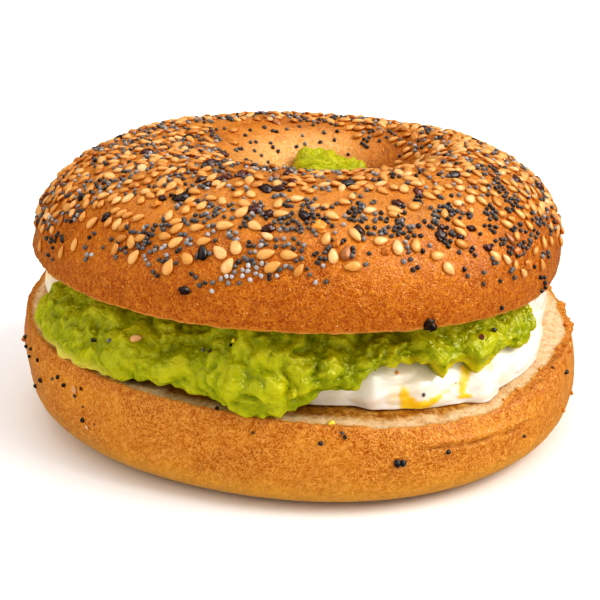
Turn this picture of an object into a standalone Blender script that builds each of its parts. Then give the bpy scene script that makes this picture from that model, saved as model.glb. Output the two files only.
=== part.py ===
"""An everything bagel cut in half and filled with cooked egg white and mashed avocado.

Four solids rest on each other: the lower half, the egg, the avocado and the seeded upper half.
Metres, +Z up. The origin is on the table, under the middle of the sandwich, and the front is -Y.
"""

import math
import random

import bmesh
import bpy
from mathutils import Matrix, Vector, noise
from mathutils.bvhtree import BVHTree

MM = 0.001
GAP = 0.35 * MM  # left free between touching pieces
TO_MIDDLE = (-0.6 * MM, -0.25 * MM, 0.0)  # puts the origin under the middle of the whole

# Both halves. The hole sits off centre, as it does in a bagel rolled by hand.
HOLE_SHIFT = (8.5 * MM, 2.0 * MM)
HOLE_RADIUS = 10.5 * MM
FOLLOWS_HOLE = (11.0 * MM, 46.0 * MM)  # radii where the shape moves fully, and not at all, with the hole

# Lower half: cut askew, so that it is thicker at the left and the back.
LOWER_CENTRE = (0.9 * MM, 0.0)
LOWER_EDGE_RADIUS = 52.5 * MM
LOWER_BULGE_RADIUS = 54.1 * MM
LOWER_BULGE_HEIGHT = 9.3 * MM
BASE_RADIUS = 43.5 * MM
BASE_HOLE_RADIUS = 17.0 * MM
UNDER_FULLNESS = 2.2 * MM  # how much wider the underside is towards UNDER_TOWARDS
UNDER_TOWARDS = math.radians(-60)
RIM_FLARE = 1.2 * MM  # how far the cut's edge stands out towards the left
LOWER_CUT = 19.0 * MM
LOWER_SLOPE = (-0.0524, 0.0372)  # rise of the cut per metre of X and of Y
LOWER_OUTLINE = ((2, 0.012, -0.010), (3, -0.009, -0.006), (4, 0.0, 0.010))
LOWER_EDGE_WAVES = ((2, 0.2 * MM, -0.3 * MM), (3, 0.45 * MM, 0.2 * MM))

# Upper half: lifted at the front by the thick filling.
UPPER_CENTRE = (-0.7 * MM, 0.0)
UPPER_EDGE_RADIUS = 50.7 * MM
UPPER_BULGE_RADIUS = 52.0 * MM
UPPER_BULGE_RISE = 3.8 * MM
CREST_RADIUS = 27.9 * MM
CREST_RISE = 21.1 * MM
HOLE_NECK_RISE = 6.0 * MM
UPPER_CUT = 30.8 * MM
UPPER_SLOPE = (-0.0073, -0.054)
UPPER_OUTLINE = ((2, -0.002, -0.009), (3, -0.0065, 0.007))
UPPER_EDGE_WAVES = ((2, 0.6 * MM, 1.4 * MM), (3, -0.7 * MM, 0.55 * MM))

CREST_SAG = (
    # degrees round the upper half, millimetres that the crest lies above its even height
    (-90, 0.0), (0, -0.1), (25, -0.6), (55, -1.25), (75, -0.8), (95, -0.45), (120, 0.0), (138, 0.3),
    (155, -0.4), (172, -1.1), (195, -0.8), (230, 0.0),
)

DENT_DEPTH = 0.55 * MM
DENT_WIDTH = 17.0 * MM

# Egg: degrees round the sandwich, then the outline's radius there.
EGG_OUTLINE = (
    (-175, 50.6), (-158, 49.0), (-140, 47.0), (-118, 47.0), (-92, 45.6), (-80, 46.4), (-74, 48.8),
    (-66, 50.4), (-55, 51.2), (-50, 52.2), (-44, 51.1), (-35, 51.0), (-24, 49.8), (-8, 48.7), (11, 51.0),
    (40, 48.0), (90, 46.5), (140, 47.0), (170, 50.6),
)
EGG_SHARE = 0.47  # of the height between the two cuts
EGG_ROUND = 3.6 * MM
EGG_TUCK = 0.5 * MM
EGG_BELLY = 0.32

# Avocado: degrees, radius of its edge, and how high that edge hangs above the lower cut.
AVOCADO_EDGE = (
    (-178, 47.5, 5.0), (-171, 51.2, 2.6), (-163, 52.6, 0.9), (-150, 53.6, 0.5), (-140, 53.6, 0.5),
    (-131, 52.2, 0.6), (-123, 50.0, 1.2), (-114, 49.6, 2.6), (-108, 50.8, 1.3), (-100, 51.9, 0.1),
    (-95, 51.6, 0.2), (-89, 50.8, 2.2), (-83, 50.2, 4.4), (-77, 49.8, 6.6), (-72, 49.6, 9.0),
    (-67, 50.0, 8.8), (-61, 50.8, 5.6), (-57.5, 50.8, 6.4), (-53, 51.2, 5.5), (-45, 50.6, 8.0),
    (-38, 51.2, 6.2), (-32, 49.4, 8.6), (-20, 46.0, 8.2), (30, 45.0, 7.0), (90, 45.0, 5.4),
    (150, 45.5, 5.2),
)
AVOCADO_LEAN = 4.4 * MM  # how far the edge stands out past the top of the layer
AVOCADO_SKIN = 1.1 * MM  # thickness of the hanging edge
LUMP_DEPTH = 1.1 * MM
LUMP_WIDTH = 6.5 * MM
MOUND_RISE = 18.1 * MM  # the mash that is pressed up through the hole
MOUND_PEAK = (3.5 * MM, 14.0 * MM)
MOUND_FALL = (0.7, 0.44, 0.1)  # how fast its top falls to the left, to the right and to the front
MOUND_ROUND = 4.0 * MM
MOUND_CLEARANCE = 0.9 * MM

# Seeds and specks
SESAME = (1.62 * MM, 0.92 * MM, 0.52 * MM)  # half length, half width, half thickness
FLAKE = (1.5 * MM, 1.2 * MM, 0.55 * MM)
POPPY = (0.66 * MM, 0.62 * MM, 0.6 * MM)
SEED_COUNT = 124
SEED_SPACING = 5.4 * MM
SEED_SINK = 0.3
SEED_RANDOM = 11
LOW_SPECKS = (
    # degrees round the lower half, height over the table, kind
    (-161, 17.0 * MM, FLAKE), (-153, 15.5 * MM, POPPY), (-152, 11.5 * MM, POPPY),
    (-143, 15.4 * MM, POPPY), (-138, 14.6 * MM, FLAKE), (-136, 10.6 * MM, POPPY),
    (-86, 13.6 * MM, POPPY), (-72, 9.4 * MM, FLAKE), (-62, 9.6 * MM, POPPY),
    (-41, 7.2 * MM, POPPY), (-21, 12.0 * MM, POPPY), (-4, 8.0 * MM, POPPY),
    (40, 11.0 * MM, POPPY), (95, 9.0 * MM, POPPY), (150, 12.0 * MM, POPPY),
)

CRUST_STEPS = 56
EGG_STEPS = 48
AVOCADO_STEPS = 72

COLOURS = {
    "bagel_bottom": ((0.62, 0.27, 0.07), 0.6),
    "egg": ((0.9, 0.87, 0.78), 0.3),
    "avocado": ((0.36, 0.44, 0.04), 0.35),
    "bagel_top": ((0.60, 0.24, 0.06), 0.55),
}


def smooth(value, low, high):
    """0 below low, 1 above high, and an even S between them."""
    share = min(1.0, max(0.0, (value - low) / (high - low)))
    return share * share * (3 - 2 * share)


def waves(angle, terms):
    return sum(c * math.cos(k * angle) + s * math.sin(k * angle) for k, c, s in terms)


def round_the_clock(angle, keys):
    """The values that keys give at this angle, eased between the two nearest keys."""
    degrees = math.degrees(angle)
    ring = [(k[0] + 360 * turn, k[1:]) for turn in (-1, 0, 1) for k in keys]
    for (a, low), (b, high) in zip(ring, ring[1:]):
        if a <= degrees < b:
            share = smooth(degrees, a, b)
            return tuple(x + (y - x) * share for x, y in zip(low, high))
    return ring[0][1]


def lower_cut(x, y):
    """Height of the lower half's cut face."""
    edge = waves(math.atan2(y, x), LOWER_EDGE_WAVES) * (math.hypot(x, y) / LOWER_EDGE_RADIUS) ** 3
    return LOWER_CUT + LOWER_SLOPE[0] * x + LOWER_SLOPE[1] * y + edge


def upper_cut(x, y):
    """Height of the upper half's cut face."""
    edge = waves(math.atan2(y, x), UPPER_EDGE_WAVES) * (math.hypot(x, y) / UPPER_EDGE_RADIUS) ** 3
    return UPPER_CUT + UPPER_SLOPE[0] * x + UPPER_SLOPE[1] * y + edge


def dent(point, depth=DENT_DEPTH, width=DENT_WIDTH):
    return depth * noise.noise(point / width)


def plan(radius, angle, centre, outline, edge_radius):
    """Where a point of a round half lies in plan, once the outline is uneven and the hole is off centre."""
    stretch = 1 + waves(angle, outline) * min(1.2, radius / edge_radius)
    pull = 1 - smooth(radius, *FOLLOWS_HOLE)
    x = centre[0] + radius * stretch * math.cos(angle) + HOLE_SHIFT[0] * pull
    y = centre[1] + radius * stretch * math.sin(angle) + HOLE_SHIFT[1] * pull
    return x, y


def lower_point(radius, height, angle):
    """A point of the lower half's turned profile, moved to where the real, uneven crust has it."""
    share = height / LOWER_CUT
    fuller = UNDER_FULLNESS * max(0.0, math.cos(angle - UNDER_TOWARDS)) * (1 - smooth(share, 0.0, 0.5))
    flare = RIM_FLARE * max(0.0, -math.cos(angle)) ** 4 * smooth(share, 0.45, 0.85)
    outer = smooth(radius, 35 * MM, 43 * MM)
    x, y = plan(radius + outer * (fuller + flare), angle, LOWER_CENTRE, LOWER_OUTLINE, LOWER_EDGE_RADIUS)
    z = height + (lower_cut(x, y) - LOWER_CUT) * share * share
    bump = dent(Vector((x, y, z))) * smooth(share, 0.0, 0.4) * (1 - smooth(share, 0.9, 1.0))
    return Vector((x + bump * math.cos(angle), y + bump * math.sin(angle), z))


def upper_point(radius, rise, angle):
    """The same for the upper half, whose profile gives the rise above its cut."""
    rise *= 1 + round_the_clock(angle, CREST_SAG)[0] * MM / CREST_RISE
    x, y = plan(radius, angle, UPPER_CENTRE, UPPER_OUTLINE, UPPER_EDGE_RADIUS)
    plane = UPPER_CUT + UPPER_SLOPE[0] * x + UPPER_SLOPE[1] * y
    kept = (1 - smooth(rise, 0.0, 11 * MM)) * (upper_cut(x, y) - plane)
    bump = dent(Vector((x, y, rise + 0.2))) * smooth(rise, 0.0, 7 * MM)
    out = smooth(radius, 30 * MM, 50 * MM)
    x += bump * out * math.cos(angle) - UPPER_SLOPE[0] * rise
    y += bump * out * math.sin(angle) - UPPER_SLOPE[1] * rise
    return Vector((x, y, plane + kept + rise + bump * (1 - out)))


def arc(centre, size, start, end, steps):
    """Points of an ellipse's arc, as radius and height, from start to end in degrees."""
    angles = [math.radians(start + (end - start) * i / steps) for i in range(steps + 1)]
    return [(centre[0] + size[0] * math.cos(a), centre[1] + size[1] * math.sin(a)) for a in angles]


def lower_profile():
    """Outer side from the cut down to the base, the base, the hole's wall and the cut face."""
    belly = LOWER_CUT - LOWER_BULGE_HEIGHT
    tuck = LOWER_BULGE_RADIUS - LOWER_EDGE_RADIUS
    side = [(LOWER_BULGE_RADIUS - tuck * t * t, LOWER_BULGE_HEIGHT + belly * t) for t in (1, 0.8, 0.55, 0.28)]
    under = arc((BASE_RADIUS, LOWER_BULGE_HEIGHT), (LOWER_BULGE_RADIUS - BASE_RADIUS, LOWER_BULGE_HEIGHT),
                0, -90, 5)
    hole = [(BASE_HOLE_RADIUS, 0.0), (13.2 * MM, 2.4 * MM), (11.3 * MM, 6.5 * MM), (HOLE_RADIUS, 12 * MM)]
    face = [(HOLE_RADIUS + 0.6 * MM, LOWER_CUT), (22 * MM, LOWER_CUT), (40 * MM, LOWER_CUT), (48 * MM, LOWER_CUT)]
    return side + under + hole + face


def upper_profile():
    """Crest, outer side, cut face, hole's wall and the slope back up to the crest."""
    side = arc((CREST_RADIUS, UPPER_BULGE_RISE),
               (UPPER_BULGE_RADIUS - CREST_RADIUS, CREST_RISE - UPPER_BULGE_RISE), 90, 0, 8)
    edge = [(51.7 * MM, 1.8 * MM), (UPPER_EDGE_RADIUS, 0.0)]
    face = [(38 * MM, 0.0), (22 * MM, 0.0), (HOLE_RADIUS + 0.6 * MM, 0.0)]
    slope = arc((CREST_RADIUS, HOLE_NECK_RISE),
                (CREST_RADIUS - HOLE_RADIUS, CREST_RISE - HOLE_NECK_RISE), 180, 90, 6)
    return side + edge + face + slope[:-1]


def finished(name, mesh):
    """Gives a mesh object its node's name, its material and smooth shading with crisp cut edges."""
    made = bpy.data.objects.new(name, mesh)
    sandwich.objects.link(made)
    colour, roughness = COLOURS[name]
    material = bpy.data.materials.new(name)
    material.use_nodes = True
    shader = material.node_tree.nodes["Principled BSDF"]
    shader.inputs["Base Color"].default_value = (*colour, 1.0)
    shader.inputs["Roughness"].default_value = roughness
    shader.inputs["Metallic"].default_value = 0.0
    mesh.materials.clear()
    mesh.materials.append(material)
    mesh.shade_smooth()
    mesh.set_sharp_from_angle(angle=math.radians(50))
    return made


def evaluated_mesh(thing):
    """The object's mesh with its modifiers applied. The object itself is removed."""
    bpy.context.view_layer.update()
    graph = bpy.context.evaluated_depsgraph_get()
    mesh = bpy.data.meshes.new_from_object(thing.evaluated_get(graph))
    bpy.data.objects.remove(thing)
    return mesh


def turned(name, profile, place):
    """A ring turned from a closed profile, each of its points then moved by place(radius, height, angle)."""
    outline = bpy.data.meshes.new(name + "_profile")
    edges = [(i, (i + 1) % len(profile)) for i in range(len(profile))]
    outline.from_pydata([(r, 0.0, h) for r, h in profile], edges, [])
    wire = bpy.data.objects.new(name + "_profile", outline)
    sandwich.objects.link(wire)
    screw = wire.modifiers.new("Turn", "SCREW")
    screw.angle = math.tau
    screw.steps = CRUST_STEPS
    screw.render_steps = CRUST_STEPS
    screw.use_merge_vertices = True
    screw.merge_threshold = 0.00001
    mesh = evaluated_mesh(wire)
    for vertex in mesh.vertices:
        x, y, z = vertex.co
        vertex.co = place(math.hypot(x, y), z, math.atan2(y, x))
    return finished(name, mesh)


def pancake(name, steps, under_rings, upper_rings):
    """A closed flat form from a UV sphere. Each ring is a function of the angle that gives a point.

    The first ring of either list is its pole. The last of upper_rings is the widest.
    """
    rings = upper_rings + under_rings[::-1]
    made = bmesh.new()
    bmesh.ops.create_uvsphere(made, u_segments=steps, v_segments=len(rings) - 1, radius=1.0)
    for vertex in made.verts:
        from_top = math.acos(max(-1.0, min(1.0, vertex.co.z))) / math.pi
        ring = rings[round(from_top * (len(rings) - 1))]
        vertex.co = ring(math.atan2(vertex.co.y, vertex.co.x))
    mesh = bpy.data.meshes.new(name)
    made.to_mesh(mesh)
    made.free()
    return finished(name, mesh)


def at(angle, radius, height):
    return Vector((radius * math.cos(angle), radius * math.sin(angle), height))


def egg_radius(angle):
    return round_the_clock(angle, EGG_OUTLINE)[0] * MM


def egg_thickness(x, y):
    return EGG_SHARE * (upper_cut(x, y) - lower_cut(x, y))


def egg_side(angle, share, out=0.0):
    """A point of the egg's rounded side, from 0 on the lower cut to 1 at the egg's top."""
    radius = egg_radius(angle)
    over = max(0.0, (share - EGG_BELLY) / (1 - EGG_BELLY))
    under = max(0.0, (EGG_BELLY - share) / EGG_BELLY)
    radius += out - EGG_ROUND * over ** 2.4 - EGG_TUCK * under ** 2
    x, y = radius * math.cos(angle), radius * math.sin(angle)
    return at(angle, radius, lower_cut(x, y) + GAP + share * egg_thickness(x, y))


def egg_flat(angle, share, top, out=0.0):
    """A point of the egg's flat top or underside, at this share of its radius."""
    radius = (egg_radius(angle) - (EGG_ROUND if top else EGG_TUCK)) * share
    x, y = radius * math.cos(angle), radius * math.sin(angle)
    return at(angle, radius, lower_cut(x, y) + GAP + out + (egg_thickness(x, y) if top else 0.0))


def ring_of(function, *values):
    """A ring that stands for one call of function at every angle."""
    return lambda angle: function(angle, *values)


def make_egg():
    under = [ring_of(egg_flat, 0.0, False), ring_of(egg_flat, 0.55, False), ring_of(egg_flat, 1.0, False),
             ring_of(egg_side, 0.18)]
    upper = [ring_of(egg_flat, 0.0, True), ring_of(egg_flat, 0.55, True), ring_of(egg_flat, 1.0, True),
             ring_of(egg_side, 0.94), ring_of(egg_side, 0.82), ring_of(egg_side, 0.62),
             ring_of(egg_side, EGG_BELLY)]
    return pancake("egg", EGG_STEPS, under, upper)


def lump(point, depth=LUMP_DEPTH, width=LUMP_WIDTH):
    """Relief of the mash: rounded lumps with narrow creases."""
    return depth * (noise.noise(point / width) + 0.5 * noise.noise(point * 2.1 / width))


def avocado_edge(angle):
    """Radius of the hanging edge, and the share of the egg's side where it ends."""
    radius, hang = round_the_clock(angle, AVOCADO_EDGE)
    x, y = radius * MM * math.cos(angle), radius * MM * math.sin(angle)
    share = min(1.0, hang * MM / egg_thickness(x, y))
    covered = egg_side(angle, share)
    return max(radius * MM, math.hypot(covered.x, covered.y) + AVOCADO_SKIN + 2 * GAP), share


def avocado_face(angle, share):
    """The outer face, from 0 at the hanging edge to 1 under the upper half."""
    radius, hang = avocado_edge(angle)
    x, y = radius * math.cos(angle), radius * math.sin(angle)
    low = lower_cut(x, y) + GAP + hang * egg_thickness(x, y) + 0.25 * MM
    inner = radius - AVOCADO_LEAN
    high = upper_cut(inner * math.cos(angle), inner * math.sin(angle)) - GAP
    bulge = math.sin(math.pi * min(1.0, 0.28 + 0.72 * share))
    point = at(angle, inner + AVOCADO_LEAN * (0.45 * bulge + 0.55 * (1 - share)), low + (high - low) * share)
    out = lump(point) * math.sin(math.pi * (0.12 + 0.76 * share))
    return point + at(angle, out, 0.0)


def avocado_lining(angle, share):
    """The inner face, which follows the egg's side from 0 at the hanging edge to 1 at the egg's top."""
    hang = avocado_edge(angle)[1]
    point = egg_side(angle, hang + (1 - hang) * share, 1.8 * GAP)
    return point + Vector((0, 0, GAP * (0.5 + 0.7 * share)))


def avocado_flat(angle, share, top):
    """The flat top or underside of the layer, between the hole and the rim."""
    hole = Vector((HOLE_SHIFT[0] + UPPER_CENTRE[0], HOLE_SHIFT[1] + UPPER_CENTRE[1], 0))
    inside = hole + at(angle, HOLE_RADIUS - GAP, 0)
    rim = avocado_edge(angle)[0] - AVOCADO_LEAN if top else egg_radius(angle) - EGG_ROUND - GAP
    point = inside.lerp(at(angle, rim, 0), share) if top else at(angle, rim * share, 0)
    if top:
        point.z = upper_cut(point.x, point.y) - 1.4 * GAP
    else:
        point.z = lower_cut(point.x, point.y) + egg_thickness(point.x, point.y) + 2 * GAP
    return point


def mound_top(x, y):
    """How far the top of the mash in the hole rises above the upper half's cut: a rounded, lopsided heap."""
    left = math.hypot(max(0.0, MOUND_PEAK[0] - x), MOUND_ROUND) - MOUND_ROUND
    right = math.hypot(max(0.0, x - MOUND_PEAK[0]), MOUND_ROUND) - MOUND_ROUND
    front = math.hypot(y - MOUND_PEAK[1], MOUND_ROUND) - MOUND_ROUND
    return MOUND_RISE - MOUND_FALL[0] * left - MOUND_FALL[1] * right - MOUND_FALL[2] * front


def mound(angle, share, rise_share):
    """The mash in the hole, at a share of the way from its middle to the wall, and of its height."""
    middle = Vector((HOLE_SHIFT[0] + UPPER_CENTRE[0], HOLE_SHIFT[1] + UPPER_CENTRE[1], 0))
    guess = middle + at(angle, 1.3 * HOLE_RADIUS * share, 0)
    rise = mound_top(guess.x, guess.y) * rise_share
    sine = max(0.0, rise - HOLE_NECK_RISE) / (CREST_RISE - HOLE_NECK_RISE)
    wall = CREST_RADIUS - (CREST_RADIUS - HOLE_RADIUS) * math.sqrt(1 - sine * sine)
    point = upper_point(wall, rise, angle)
    axis = Vector((middle.x - UPPER_SLOPE[0] * rise, middle.y - UPPER_SLOPE[1] * rise, point.z))
    reach = (point - axis).length
    point = axis + (point - axis) * share * (1 - MOUND_CLEARANCE / reach)
    return point + Vector((0, 0, lump(point) * (1 - share)))


def make_avocado():
    under = [ring_of(avocado_flat, 0.0, False), ring_of(avocado_flat, 0.6, False),
             ring_of(avocado_flat, 1.0, False), ring_of(avocado_lining, 0.85),
             ring_of(avocado_lining, 0.5), ring_of(avocado_lining, 0.0)]
    top = [ring_of(mound, 0.0, 1.0), ring_of(mound, 0.4, 1.0), ring_of(mound, 0.75, 0.98),
           ring_of(mound, 0.95, 0.9), ring_of(mound, 1.0, 0.78), ring_of(mound, 1.0, 0.58),
           ring_of(mound, 1.0, 0.36), ring_of(mound, 1.0, 0.0)]
    flat = [ring_of(avocado_flat, 0.12, True), ring_of(avocado_flat, 0.7, True)]
    face = [ring_of(avocado_face, share) for share in (1.0, 0.84, 0.68, 0.52, 0.36, 0.2, 0.07, 0.0)]
    return pancake("avocado", AVOCADO_STEPS, under, top + flat + face)


def seed(size, turn, place, lift, normal):
    """One seed: a pointed, flattened sphere that lies on the crust, its long axis turned by an angle."""
    made = bmesh.new()
    bmesh.ops.create_uvsphere(made, u_segments=6, v_segments=3, radius=1.0)
    for vertex in made.verts:
        taper = 1 - 0.28 * vertex.co.z
        vertex.co = Vector((vertex.co.z * size[0], vertex.co.x * size[1] * taper, vertex.co.y * size[2]))
    stand = normal.to_track_quat("Z", "Y").to_matrix().to_4x4()
    made.transform(Matrix.Translation(place + normal * lift) @ stand @ Matrix.Rotation(turn, 4, "Z"))
    mesh = bpy.data.meshes.new("seed")
    made.to_mesh(mesh)
    made.free()
    return bpy.data.objects.new("seed", mesh)


def fuse(body, seeds):
    """Joins the seeds to the body with one Boolean union, applies it and removes the seeds."""
    helpers = bpy.data.collections.new(body.name + "_seeds")
    bpy.context.scene.collection.children.link(helpers)
    for one in seeds:
        helpers.objects.link(one)
    union = body.modifiers.new("Seeds", "BOOLEAN")
    union.operation = "UNION"
    union.operand_type = "COLLECTION"
    union.collection = helpers
    union.solver = "EXACT"
    name, mesh = body.name, evaluated_mesh(body)
    for one in list(helpers.objects):
        bpy.data.objects.remove(one)
    bpy.data.collections.remove(helpers)
    return finished(name, mesh)


def seeded_share(angle, tube):
    """How thickly seeds lie at this place, from 0 to 1. tube runs from 0 at the bulge over 90 at the crest."""
    low = 24 - 16 * abs(math.cos(angle))
    return smooth(tube, low, low + 12) * (1 - smooth(tube, 118, 140))


def scattered_seeds(body):
    """Seeds of the upper half, dealt at random and kept apart, where the dough was dipped."""
    tree = BVHTree.FromPolygons([v.co for v in body.data.vertices], [p.vertices for p in body.data.polygons])
    deal = random.Random(SEED_RANDOM)
    placed, seeds = [], []
    while len(seeds) < SEED_COUNT:
        angle, tube = deal.uniform(-math.pi, math.pi), deal.uniform(0, 145)
        turn, chance = deal.uniform(0, math.tau), deal.random()
        along = math.radians(tube)
        inner = tube > 90
        reach = CREST_RADIUS - HOLE_RADIUS if inner else UPPER_BULGE_RADIUS - CREST_RADIUS
        radius = CREST_RADIUS + reach * math.cos(along)
        if chance > seeded_share(angle, tube) * radius / UPPER_BULGE_RADIUS:
            continue
        floor = HOLE_NECK_RISE if inner else UPPER_BULGE_RISE
        point = upper_point(radius, floor + (CREST_RISE - floor) * math.sin(along), angle)
        place, normal, _, _ = tree.find_nearest(point)
        if any((place - other).length < SEED_SPACING for other in placed):
            continue
        placed.append(place)
        seeds.append(seed(SESAME, turn, place, SESAME[2] * SEED_SINK, normal))
    return seeds


def low_specks(body):
    """The few seeds and burnt flakes that stick to the lower half's side."""
    tree = BVHTree.FromPolygons([v.co for v in body.data.vertices], [p.vertices for p in body.data.polygons])
    specks = []
    for number, (degrees, height, size) in enumerate(LOW_SPECKS):
        angle = math.radians(degrees)
        place, normal, _, _ = tree.find_nearest(at(angle, LOWER_BULGE_RADIUS, height))
        specks.append(seed(size, number * 0.9, place, size[2] * SEED_SINK, normal))
    return specks


for thing in list(bpy.data.objects):
    bpy.data.objects.remove(thing)
sandwich = bpy.data.collections.new("bagel_sandwich")
bpy.context.scene.collection.children.link(sandwich)

lower = turned("bagel_bottom", lower_profile(), lower_point)
lower = fuse(lower, low_specks(lower))
egg = make_egg()
avocado = make_avocado()
upper = turned("bagel_top", upper_profile(), upper_point)
upper = fuse(upper, scattered_seeds(upper))
for piece in (lower, egg, avocado, upper):
    piece.data.transform(Matrix.Translation(TO_MIDDLE))
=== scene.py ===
# %% [markdown]
# # A bagel sandwich
# A bagel covered in sesame and poppy seeds is cut in half and filled with cooked egg white and mashed
# avocado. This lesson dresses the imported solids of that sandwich: bread, egg and avocado are modelled again
# with fine relief, and the seeds are laid one by one. All of it is in metres, and the front is -Y.

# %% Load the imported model
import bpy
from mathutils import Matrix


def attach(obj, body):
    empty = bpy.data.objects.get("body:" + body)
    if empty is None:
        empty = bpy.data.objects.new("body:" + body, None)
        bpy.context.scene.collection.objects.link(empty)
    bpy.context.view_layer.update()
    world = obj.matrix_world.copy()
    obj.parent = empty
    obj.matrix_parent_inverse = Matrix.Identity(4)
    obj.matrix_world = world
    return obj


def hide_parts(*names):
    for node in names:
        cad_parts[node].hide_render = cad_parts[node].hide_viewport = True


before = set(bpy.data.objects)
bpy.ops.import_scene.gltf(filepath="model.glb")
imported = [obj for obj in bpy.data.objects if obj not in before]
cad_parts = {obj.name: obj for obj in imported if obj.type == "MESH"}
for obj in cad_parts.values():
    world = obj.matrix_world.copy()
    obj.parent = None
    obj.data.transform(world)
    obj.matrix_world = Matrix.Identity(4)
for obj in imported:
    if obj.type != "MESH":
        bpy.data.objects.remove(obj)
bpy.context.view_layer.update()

# %% [markdown]
# ## Values and small helpers
# Everything on the sandwich is measured round its middle: an angle, a distance from the axis and a height.
# Food is never even, so tables give a value at a few angles, and `round_the_clock` eases between them.

# %% Helpers for uneven shapes
import math
import random
from functools import lru_cache

import bmesh
import bpy
import numpy as np
from mathutils import Matrix, Vector, noise
from mathutils.bvhtree import BVHTree

noise.seed_set(5)  # without it noise_vector differs from run to run
MM = 0.001
GAP = 0.35 * MM
TO_MIDDLE = Vector((-0.6 * MM, -0.25 * MM, 0.0))  # puts the origin under the middle of the whole


def smooth(value, low, high):
    """0 below low, 1 above high, and an even S between them."""
    share = min(1.0, max(0.0, (value - low) / (high - low)))
    return share * share * (3 - 2 * share)


def waves(angle, terms):
    """How far a wavy outline is out of round here. Each term is waves per turn, and their two heights."""
    return sum(c * math.cos(k * angle) + s * math.sin(k * angle) for k, c, s in terms)


eased = {}


def round_the_clock(angle, keys):
    """The values that keys give at this angle, eased between the two nearest keys."""
    degrees = round(math.degrees(angle), 3)
    known = eased.get((degrees, keys))
    if known:
        return known
    ring = [(k[0] + 360 * turn, k[1:]) for turn in (-1, 0, 1) for k in keys]
    for (a, low), (b, high) in zip(ring, ring[1:]):
        if a <= degrees < b:
            share = smooth(degrees, a, b)
            eased[(degrees, keys)] = tuple(x + (y - x) * share for x, y in zip(low, high))
    return eased[(degrees, keys)]


def at(angle, radius, height):
    """The point at an angle round the axis, a radius from it and a height."""
    return Vector((radius * math.cos(angle), radius * math.sin(angle), height))


print("a third of the way along, the even S has risen by %.2f" % smooth(1 / 3, 0, 1))

# %% [markdown]
# ## The two cuts
# The knife went through at a slant, and the thick filling lifts the front of the upper half. So each cut is a
# tilted plane whose edge also rises and falls a little. Every other piece is placed by these two heights.

# %% Heights of the two cut faces
HOLE_SHIFT = (8.5 * MM, 2.0 * MM)
HOLE_RADIUS = 10.5 * MM
FOLLOWS_HOLE = (11.0 * MM, 46.0 * MM)
LOWER_CENTRE = (0.9 * MM, 0.0)
LOWER_EDGE_RADIUS = 52.5 * MM
LOWER_BULGE_RADIUS = 54.1 * MM
LOWER_BULGE_HEIGHT = 9.3 * MM
BASE_RADIUS = 43.5 * MM
BASE_HOLE_RADIUS = 17.0 * MM
UNDER_FULLNESS = 2.2 * MM
UNDER_TOWARDS = math.radians(-60)
RIM_FLARE = 1.2 * MM
LOWER_CUT = 19.0 * MM
LOWER_SLOPE = (-0.0524, 0.0372)
LOWER_OUTLINE = ((2, 0.012, -0.010), (3, -0.009, -0.006), (4, 0.0, 0.010))
LOWER_EDGE_WAVES = ((2, 0.2 * MM, -0.3 * MM), (3, 0.45 * MM, 0.2 * MM))
UPPER_CENTRE = (-0.7 * MM, 0.0)
UPPER_EDGE_RADIUS = 50.7 * MM
UPPER_BULGE_RADIUS = 52.0 * MM
UPPER_BULGE_RISE = 3.8 * MM
CREST_RADIUS = 27.9 * MM
CREST_RISE = 21.1 * MM
HOLE_NECK_RISE = 6.0 * MM
UPPER_CUT = 30.8 * MM
UPPER_SLOPE = (-0.0073, -0.054)
UPPER_OUTLINE = ((2, -0.002, -0.009), (3, -0.0065, 0.007))
UPPER_EDGE_WAVES = ((2, 0.6 * MM, 1.4 * MM), (3, -0.7 * MM, 0.55 * MM))


def lower_cut(x, y):
    """Height of the lower half's cut face."""
    edge = waves(math.atan2(y, x), LOWER_EDGE_WAVES) * (math.hypot(x, y) / LOWER_EDGE_RADIUS) ** 3
    return LOWER_CUT + LOWER_SLOPE[0] * x + LOWER_SLOPE[1] * y + edge


def upper_cut(x, y):
    """Height of the upper half's cut face."""
    edge = waves(math.atan2(y, x), UPPER_EDGE_WAVES) * (math.hypot(x, y) / UPPER_EDGE_RADIUS) ** 3
    return UPPER_CUT + UPPER_SLOPE[0] * x + UPPER_SLOPE[1] * y + edge


print("gap between the cuts: front %.1f mm, back %.1f mm" % (
    1000 * (upper_cut(0, -0.05) - lower_cut(0, -0.05)), 1000 * (upper_cut(0, 0.05) - lower_cut(0, 0.05))))

# %% [markdown]
# ## Bread: one outline, carried round unevenly
# A bagel half is a ring, so its outline is drawn once, as radius and height. A spin would carry that outline
# round too evenly for dough. So a function says where each point of it lies at each angle: the outline
# waves, the hole sits off centre, the cut slants and the crest sags.

# %% Where a point of a round half goes
CREST_SAG = (
    # degrees round the upper half, millimetres that the crest lies above its even height
    (-90, -0.35), (0, -0.75), (25, -1.1), (55, -1.7), (75, -1.2), (95, -0.7), (120, -0.25), (138, -0.1),
    (155, -0.9), (172, -1.5), (195, -1.1), (230, -0.2),
)
LEFT_PULL = 1.0 * MM
DENT_DEPTH = 0.55 * MM
DENT_WIDTH = 17.0 * MM


def dent(point):
    """The slow swells and hollows of the crust."""
    return DENT_DEPTH * noise.noise(point / DENT_WIDTH)


def plan(radius, angle, centre, outline, edge_radius):
    """Where a point lies as seen from above, on an outline that waves, round a hole that is off centre."""
    stretch = 1 + waves(angle, outline) * min(1.2, radius / edge_radius)
    pull = 1 - smooth(radius, *FOLLOWS_HOLE)
    x = centre[0] + radius * stretch * math.cos(angle) + HOLE_SHIFT[0] * pull
    y = centre[1] + radius * stretch * math.sin(angle) + HOLE_SHIFT[1] * pull
    return x, y


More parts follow.
